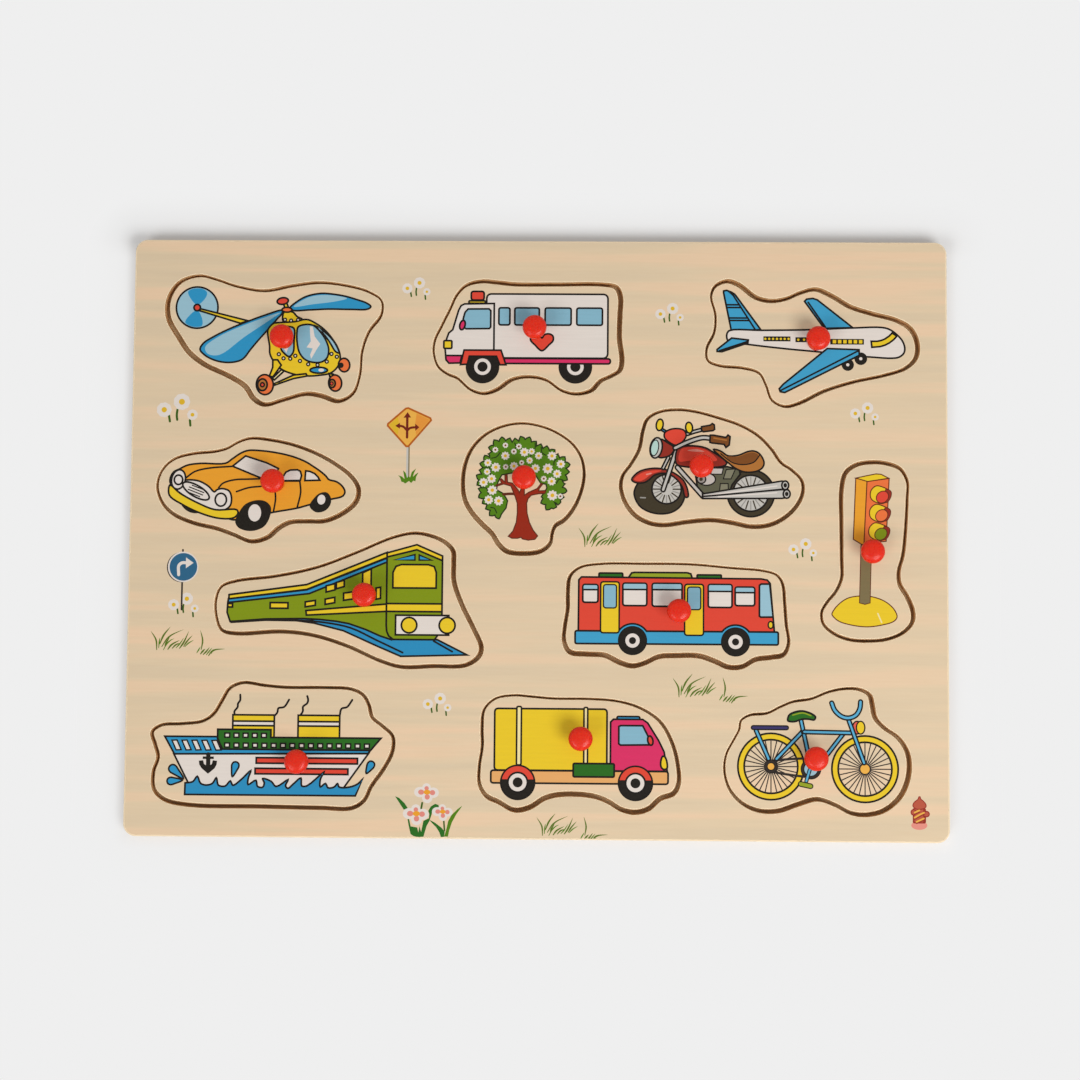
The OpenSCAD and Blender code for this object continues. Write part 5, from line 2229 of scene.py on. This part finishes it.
@dataclass
class Studio:
    """The pale floor, the soft lamps and the camera.

    Args:
        floor: half the floor's size in metres.
        drop: how far the floor lies below the puzzle's underside, in metres.
        eye: the camera's place.
        tilt: the camera's turn, in radians about X, Y and Z.
        lens: its focal length in millimetres.
        sensor: its sensor's width in millimetres.
        clip: the nearest and farthest that it sees, in metres.
        lamps: the lamps.
        fill: the strength of the light from all round.
    """

    floor: float = 4.0
    drop: float = 0.0001
    eye: Place = (0.01918, -0.07399, 0.88675)
    tilt: Place = (0.08304, 0.02009, 0.00798)
    lens: float = 80.25
    sensor: float = 36.0
    clip: Span = (0.01, 50.0)
    lamps: tuple[Lamp, ...] = (Lamp((-2.1, -2.3, 3.5), 2.1, 54.0), Lamp((0.56, -0.62, 1.08), 0.69, 10.7))
    fill: float = 0.42

    def build(self, finishes: Finishes) -> list[str]:
        """Lays the floor and sets the lamps, the world and the camera.

        Args:
            finishes: the materials.

        Returns:
            The names of what was made.
        """
        names = [self.ground(finishes)]
        names += [lamp.build(f"lamp_{k}") for k, lamp in enumerate(self.lamps)]
        self.sky()
        return [*names, self.camera()]

    def ground(self, finishes: Finishes) -> str:
        """Lays the floor.

        Args:
            finishes: the materials.

        Returns:
            Its name.
        """
        mesh = bpy.data.meshes.new("studio_floor")
        s, low = self.floor, -self.drop
        mesh.from_pydata([(-s, -s, low), (s, -s, low), (s, s, low), (-s, s, low)], [], [(0, 1, 2, 3)])
        floor = bpy.data.objects.new("studio_floor", mesh)
        mesh.materials.append(finishes.floor)
        bpy.context.scene.collection.objects.link(floor)
        return floor.name

    def sky(self) -> None:
        """Sets the light from all round, and the pale backdrop that the camera sees."""
        world = bpy.data.worlds.new("studio")
        bpy.context.scene.world = world
        world.use_nodes = True
        tree = world.node_tree
        tree.nodes.clear()
        out = tree.nodes.new("ShaderNodeOutputWorld")
        soft = tree.nodes.new("ShaderNodeBackground")
        soft.inputs["Color"].default_value = (1, 1, 1, 1)
        soft.inputs["Strength"].default_value = self.fill
        seen = tree.nodes.new("ShaderNodeBackground")
        seen.inputs["Color"].default_value = (*linear(PALE), 1)
        either = tree.nodes.new("ShaderNodeMixShader")
        tree.links.new(backdrop(tree), either.inputs[0])
        tree.links.new(soft.outputs[0], either.inputs[1])
        tree.links.new(seen.outputs[0], either.inputs[2])
        tree.links.new(either.outputs[0], out.inputs["Surface"])

    def camera(self) -> str:
        """Sets the camera.

        Returns:
            Its name.
        """
        lens = bpy.data.cameras.new("camera")
        lens.lens, lens.sensor_width = self.lens, self.sensor
        lens.clip_start, lens.clip_end = self.clip
        camera = bpy.data.objects.new("camera", lens)
        camera.location, camera.rotation_euler = self.eye, self.tilt
        bpy.context.scene.collection.objects.link(camera)
        bpy.context.scene.camera = camera
        return camera.name


PIECES: tuple[type[PuzzlePiece], ...] = (
    Helicopter, Ambulance, Plane, Car, Tree, Motorcycle, TrafficLight, Train, Bus, Ship, Truck, Bicycle,
)


def main() -> None:
    """Builds the studio, the tray and the pieces."""
    logging.basicConfig(level=logging.INFO, format="%(message)s")
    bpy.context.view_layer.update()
    bpy.context.scene.view_settings.view_transform = "Standard"
    finishes = Finishes()
    for part in (Studio(), Tray(), *(kind() for kind in PIECES)):
        LOG.info("%s: %s", type(part).__name__, ", ".join(part.build(finishes)))


if __name__ == "__main__":
    main()
